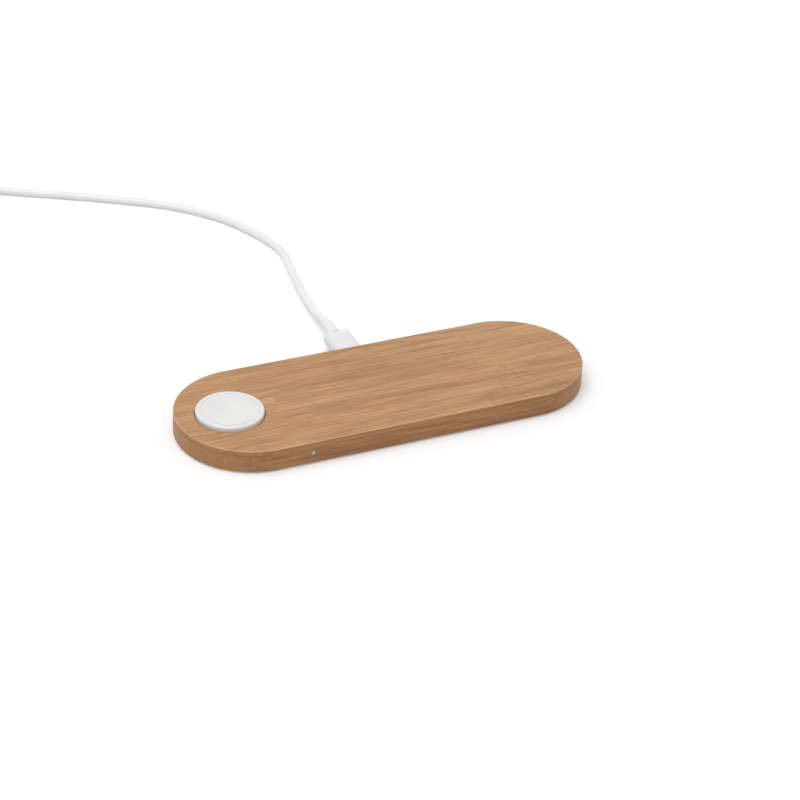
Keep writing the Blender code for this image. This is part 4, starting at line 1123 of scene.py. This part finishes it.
def makePuck():
    top = puckHigh.z
    radius = puckShape["radius"]
    dishRadius = radius - puckShape["rim"]
    depth = puckShape["dishDepth"]
    curve = (dishRadius**2 + depth**2) / (2 * depth)
    lensRadius = dishRadius - puckShape["grooveWidth"]
    profile = []
    for step in range(puckShape["dishSteps"] + 1):
        reach = lensRadius * step / puckShape["dishSteps"]
        profile.append((reach, top - depth + curve - sqrt(curve**2 - reach**2)))
    lensTop = profile[-1][1]
    profile += [(reach, lensTop - puckShape["grooveDepth"]) for reach in (lensRadius, dishRadius)]
    profile.append((dishRadius, top))
    flangeTop = puckLow.z + puckShape["flangeThickness"]
    inner = radius - puckShape["wall"]
    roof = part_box("watch_coil")[1].z + seat
    flange = radius + puckShape["flange"]
    profile += [
        (radius, top), (radius, flangeTop), (flange, flangeTop),
        (flange, puckLow.z), (inner, puckLow.z), (inner, roof), (0, roof),
    ]
    bm = revolve(profile, puckShape["roundSteps"])
    roundRing(bm, radius, top, *puckShape["edge"])
    roundRing(bm, dishRadius, top, *puckShape["dishEdge"])
    roundRing(bm, lensRadius, lensTop, *puckShape["grooveEdge"])
    shift(bm, (puckX, 0, 0))
    puckFinish(dishRadius)
    addPiece("watchPuck", bm, "polished puck", "station", "puck_plastic", "watch_puck")


makePuck()
print("puck ready")


# indicator lamp

lensShape = {
    "dome": 0.00012,
    "domeSteps": 6,
    "edge": (0.00008, 2),
    "collar": 0.0006,
    "collarThickness": 0.0006,
    "roundSteps": 48,
}
lensLook = {
    "core": (0.5, (0.27, 0.62, 0.70)),  # out to this share of the radius
    "rim": (1.0, (0.10, 0.30, 0.19)),
    "shift": (0.0003, 0, 0.0002),  # of the bright spot off the middle
    "glow": 0.6,
    "colour": (0.10, 0.22, 0.22),
    "cloudShare": 0.12,
    "roughness": (0.14, 0.24),
    "grain": 0.0004,
    "depth": 0.000005,
}


def lensFinish(centre, radius):
    shader, place = newFinish("lamp lens")
    bright = tuple(Vector(centre) + Vector(lensLook["shift"]))
    cloud = evenNoise(place, lensLook["grain"])
    spread = lensLook["cloudShare"]
    share = vectorCalc("DISTANCE", place, bright) / radius + between(cloud, -spread, spread)
    feed(shader, {
        "Emission Color": ramp(share, lensLook["core"], lensLook["rim"]),
        "Emission Strength": lensLook["glow"],
        "Base Color": lensLook["colour"],
        "Roughness": between(cloud, *lensLook["roughness"]),
    })
    addBump(shader, cloud, lensLook["depth"])


def makeLens():
    width, depth, _ = sizeOf("lamp_lens")
    wide = width / 2
    radius = wide - lensShape["collar"]
    collar = depth - lensShape["collarThickness"]
    dome, steps = lensShape["dome"], lensShape["domeSteps"]
    shares = [step / steps for step in range(steps + 1)]
    profile = [(radius * share, dome * share**2) for share in shares]
    profile += [(radius, collar), (wide, collar), (wide, depth), (0, depth)]
    bm = revolve(profile, lensShape["roundSteps"])
    roundRing(bm, radius, dome, *lensShape["edge"])
    roundRing(bm, wide, collar, *lensShape["edge"])
    centre = (lensX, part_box("lamp_lens")[0].y, lensZ)
    shift(shift(bm, layAlongY), centre)
    lensFinish(centre, radius)
    addPiece("lampLens", bm, "lamp lens", "station", "lamp_lens", "lamp_lens")


makeLens()
print("lamp ready")


# inlet contacts, then the two plugs and the tie on the cord

def rowOf(count, step):  # evenly spaced places, the same on both sides of 0
    return [(number - (count - 1) / 2) * step for number in range(count)]


inletShape = {
    "contacts": 5,
    "step": 0.00095,
    "width": 0.0004,
    "height": 0.00005,
    "start": 0.0006,
    "end": 0.0008,
}


def makeInletContacts():
    low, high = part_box("inlet_tongue")
    half, thick = inletShape["width"] / 2, inletShape["height"]
    start, end = low.y + inletShape["start"], high.y - inletShape["end"]
    bm = bmesh.new()
    for x in rowOf(inletShape["contacts"], inletShape["step"]):
        for bottom, top in ((high.z, high.z + thick), (low.z - thick, low.z)):
            addBlock(bm, (x - half, start, bottom), (x + half, end, top))
    addPiece("inletContacts", bm, "contact gold", "station", "plug_steel")


plugShape = {
    "wall": 0.0003,
    "length": 0.0066,
    "seated": 0.001,
    "floor": 0.0008,
    "corner": 0.003,
    "cornerSegments": 12,
    "seatSegments": 8,
    "frontEdge": (0.0006, 5),
    "backEdge": (0.0015, 8),
    "rimEdge": (0.0001, 2),
    "reliefWall": 0.0011,
    "reliefTipWall": 0.0004,
    "reliefSteps": 40,
    "grooves": 3,
    "groove": 0.0003,
    "grooveEdge": (0.0001, 3),
    "grooveShares": ((0.35, 0), (0.45, 1), (0.85, 1), (0.95, 0)),  # along a step, and how deep
    "plainShare": 0.5,  # of a step, behind the last groove
}


def gripMesh(name, width, height, length, seatWidth, seatHeight, seatCorner):  # from 0 along Y
    corner = min(plugShape["corner"], height / 2 - plugShape["rimEdge"][0])
    bm = barAlongY(width, height, 0, length, corner, plugShape["cornerSegments"])
    roundBarEnd(bm, 0, *plugShape["frontEdge"])
    roundBarEnd(bm, length, *plugShape["backEdge"])
    end = plugShape["seated"] + seat
    pocket = barAlongY(seatWidth, seatHeight, -overrun, end, seatCorner, plugShape["seatSegments"])
    return carve(makeMesh(name, bm), pocket)


def shellMesh(name, width, height, tip, base, floor, corner):  # open at its tip, closed at its base
    bm = barAlongY(width, height, tip, base, corner)
    roundBarEnd(bm, tip, *plugShape["rimEdge"])
    wall = plugShape["wall"]
    start, end = tip - overrun, base - floor
    hollow = barAlongY(width - 2 * wall, height - 2 * wall, start, end, corner - wall)
    return carve(makeMesh(name, bm), hollow)


def reliefMesh(name, length):  # starts wide at 0 and tapers along Y
    wide = cordShape["diameter"] / 2 + plugShape["reliefWall"]
    tip = cordShape["diameter"] / 2 + plugShape["reliefTipWall"]
    profile = [(0, 0), (wide, 0)]
    for number in range(plugShape["grooves"]):
        for share, sunk in plugShape["grooveShares"]:
            at = (number + share) / (plugShape["grooves"] + plugShape["plainShare"])
            profile.append((wide + (tip - wide) * at - sunk * plugShape["groove"], at * length))
    bm = revolve(profile + [(tip, length), (0, length)], plugShape["reliefSteps"])
    outside = edgesWhere(bm, lambda point: fromAxis(point) > cordShape["diameter"] / 4)
    rings = []
    for edge in outside:
        start, end = (vert.co for vert in edge.verts)
        if close(start.z, end.z) and close(fromAxis(start), fromAxis(end)):
            rings.append(edge)
    roundEdges(bm, rings, *plugShape["grooveEdge"])
    return makeMesh(name, shift(bm, layAlongY))


def addOnCord(name, shape, finish, slotName, place, *nodes):
    return addPiece(name, shape, finish, "cable", slotName, *nodes, place=place)


def makeNearPlug():
    low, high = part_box("plug_shell")
    width, length, height = high - low
    floor = length - plugShape["length"] + plugShape["floor"]
    shell = shellMesh("plugShell", width, height, low.y, high.y, floor, height / 2 - fit["flat"])
    place = Matrix.Translation((0, 0, inletZ))
    shell = addOnCord("plugShell", shell, "plug steel", "plug_steel", place, "plug_shell")
    pocket = [side + 2 * seat for side in (width, height)]
    width, length, height = sizeOf("plug_grip")
    grip = gripMesh("plugGrip", width, height, length, *pocket, pocket[1] / 2 - fit["flat"])
    place = Matrix.Translation((0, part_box("plug_grip")[0].y, inletZ))
    grip = addOnCord("plugGrip", grip, "grip plastic", "cord_white", place, "plug_grip")
    relief = reliefMesh("plugRelief", sizeOf("plug_relief").y)
    place = Matrix.Translation((0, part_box("plug_relief")[0].y, inletZ))
    relief = addOnCord("plugRelief", relief, "cord sleeve", "cord_white", place, "plug_relief")
    return [shell, grip, relief]


farShape = {
    "reliefLength": 0.011,
    "gripWidth": 0.0156,
    "gripLength": 0.022,
    "shellWidth": 0.012,
    "shellHeight": 0.0045,
    "shellLength": 0.012,
    "shellCorner": 0.0004,
    "windowSide": 0.0022,
    "windowApart": 0.0052,
    "windowFromEnd": 0.0052,
    "tongueHeight": 0.0019,
    "tongueEdge": (0.0002, 4),
    "contacts": 4,
    "contactStep": 0.0024,
    "contactWidth": 0.0012,
    "contactHeight": 0.00015,
    "contactShares": (0.35, 0.93),  # where they start and end along the shell
}


def makeFarPlug():
    wall, corner = plugShape["wall"], farShape["shellCorner"]
    width, tall, length = farShape["shellWidth"], farShape["shellHeight"], farShape["shellLength"]
    turn = Vector((0, 1)).angle_signed(tailHeading.xy)
    tail = Matrix.Translation(tailEnd) @ Matrix.Rotation(-turn, 4, "Z")

    def onTail(reach):  # turned to face the end of the tail
        return tail @ Matrix.Translation((0, reach, 0)) @ Matrix.Rotation(pi, 4, "Z")

    reliefAt = seat + farShape["reliefLength"]
    gripAt = reliefAt + seat + farShape["gripLength"]
    relief = reliefMesh("farRelief", farShape["reliefLength"])
    relief = addOnCord("farRelief", relief, "cord sleeve", "cord_white", onTail(reliefAt), "far_relief")
    grip = gripMesh(
        "farGrip", farShape["gripWidth"], farGripTall, farShape["gripLength"],
        width + 2 * seat, tall + 2 * seat, corner + seat,
    )
    grip = addOnCord("farGrip", grip, "grip plastic", "cord_white", onTail(gripAt), "far_grip")

    seated = plugShape["seated"]
    shell = shellMesh("farShell", width, tall, -length, seated, seated, corner)
    windows = bmesh.new()
    half, y = farShape["windowSide"] / 2, farShape["windowFromEnd"] - length
    for x in rowOf(2, farShape["windowApart"]):
        addBlock(windows, (x - half, y - half, -tall), (x + half, y + half, tall))
    shell = carve(shell, windows)
    shell = addOnCord("farShell", shell, "plug steel", "plug_steel", onTail(gripAt), "far_shell")

    thick = farShape["tongueHeight"]
    inner, innerTall = width - 2 * wall, tall - 2 * wall
    place = tail @ Matrix.Translation((0, gripAt, seat - (innerTall - thick) / 2))
    bm = barAlongY(inner - 2 * seat, thick, seat, length - seat, *farShape["tongueEdge"])
    tongue = addOnCord("farTongue", bm, "tongue resin", "tongue_white", place, "far_tongue")
    bm = bmesh.new()
    half, top = farShape["contactWidth"] / 2, thick / 2 + farShape["contactHeight"]
    start, end = (length * share for share in farShape["contactShares"])
    for x in rowOf(farShape["contacts"], farShape["contactStep"]):
        addBlock(bm, (x - half, start, thick / 2), (x + half, end, top))
    contacts = addOnCord("farContacts", bm, "contact gold", "plug_steel", place)
    return [relief, grip, shell, tongue, contacts]


tieShape = {
    "edge": (0.0002, 3),
    "flapLength": 0.009,
    "flapThickness": 0.0005,
    "flapSegments": 4,
}


def makeTie():
    first = (tieDirection - cordShape["startAngle"]) / (2 * pi) % 1
    turns = [abs(first + turn - layerTurns) for turn in range(cordShape["turns"])]
    thick, half = cordShape["tieThickness"], cordShape["tieWidth"] / 2
    diameter = cordShape["diameter"]
    bow = half**2 / (2 * coilInner)
    near = coilInner + coilPitch * min(turns) - diameter / 2 - seat - bow
    far = coilInner + coilPitch * max(turns) + diameter / 2 + seat
    tall = diameter + coilPitch + 2 * seat
    corner = diameter / 2 + seat
    band = barAlongY(far - near + 2 * thick, tall + 2 * thick, -half, half, corner + thick)
    cut = half + overrun
    hollow = barAlongY(far - near, tall, -cut, cut, corner)
    bm = bmesh.new()
    bm.from_mesh(carve(makeMesh("cordTie", band), hollow))
    for end in (-half, half):
        roundBarEnd(bm, end, *tieShape["edge"])
    flapHalf, flapThick = half - tieShape["edge"][0], tieShape["flapThickness"]
    flap = barAlongY(
        tieShape["flapLength"], flapThick, -flapHalf, flapHalf,
        flapThick / 2 - fit["flat"], tieShape["flapSegments"],
    )
    top = tall / 2 + thick
    takeIn(bm, shift(flap, (0, 0, top + flapThick / 2)))
    middle = (near + far) / 2
    x, y = cordShape["centre"]
    place = (x + middle * cos(tieDirection), y + middle * sin(tieDirection), top)
    shift(bm, Matrix.Translation(place) @ Matrix.Rotation(tieDirection, 4, "Z"))
    return addPiece("cordTie", bm, "tie band", "cable", "tie_band", "cord_tie")


makeInletContacts()
onCord = makeNearPlug() + makeFarPlug() + [makeTie()]
print("cord pieces ready:", len(onCord))


# inner pieces keep their shapes and get their finishes

def dress(finish, *nodes):
    for name in nodes:
        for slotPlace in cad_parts[name].material_slots:
            slotPlace.material = finishes[finish]


dress("puck plastic", "puck_base")
dress("copper wire", "watch_coil", "earbud_coil", "phone_coil")
dress("ferrite", "watch_ferrite", "earbud_ferrite", "phone_ferrite")
dress("foam", "earbud_pad", "phone_pad")
dress("magnet nickel", "watch_magnet")
dress("board laminate", "main_board", "lamp_board")
dress("black resin", "driver_chip", "inlet_tongue")
dress("inductor ferrite", "power_inductor")
dress("lamp chip", "lamp_chip")
dress("wire sleeve", "lamp_wire")
dress("plug steel", "inlet_shell")
for number in range(1, 5):
    name = f"capacitor_{number}"
    finish = f"capacitor finish {number}"
    capacitorFinish(finish, middleOf(name).x, sizeOf(name).x / 2)
    dress(finish, name)
print("inner pieces dressed")
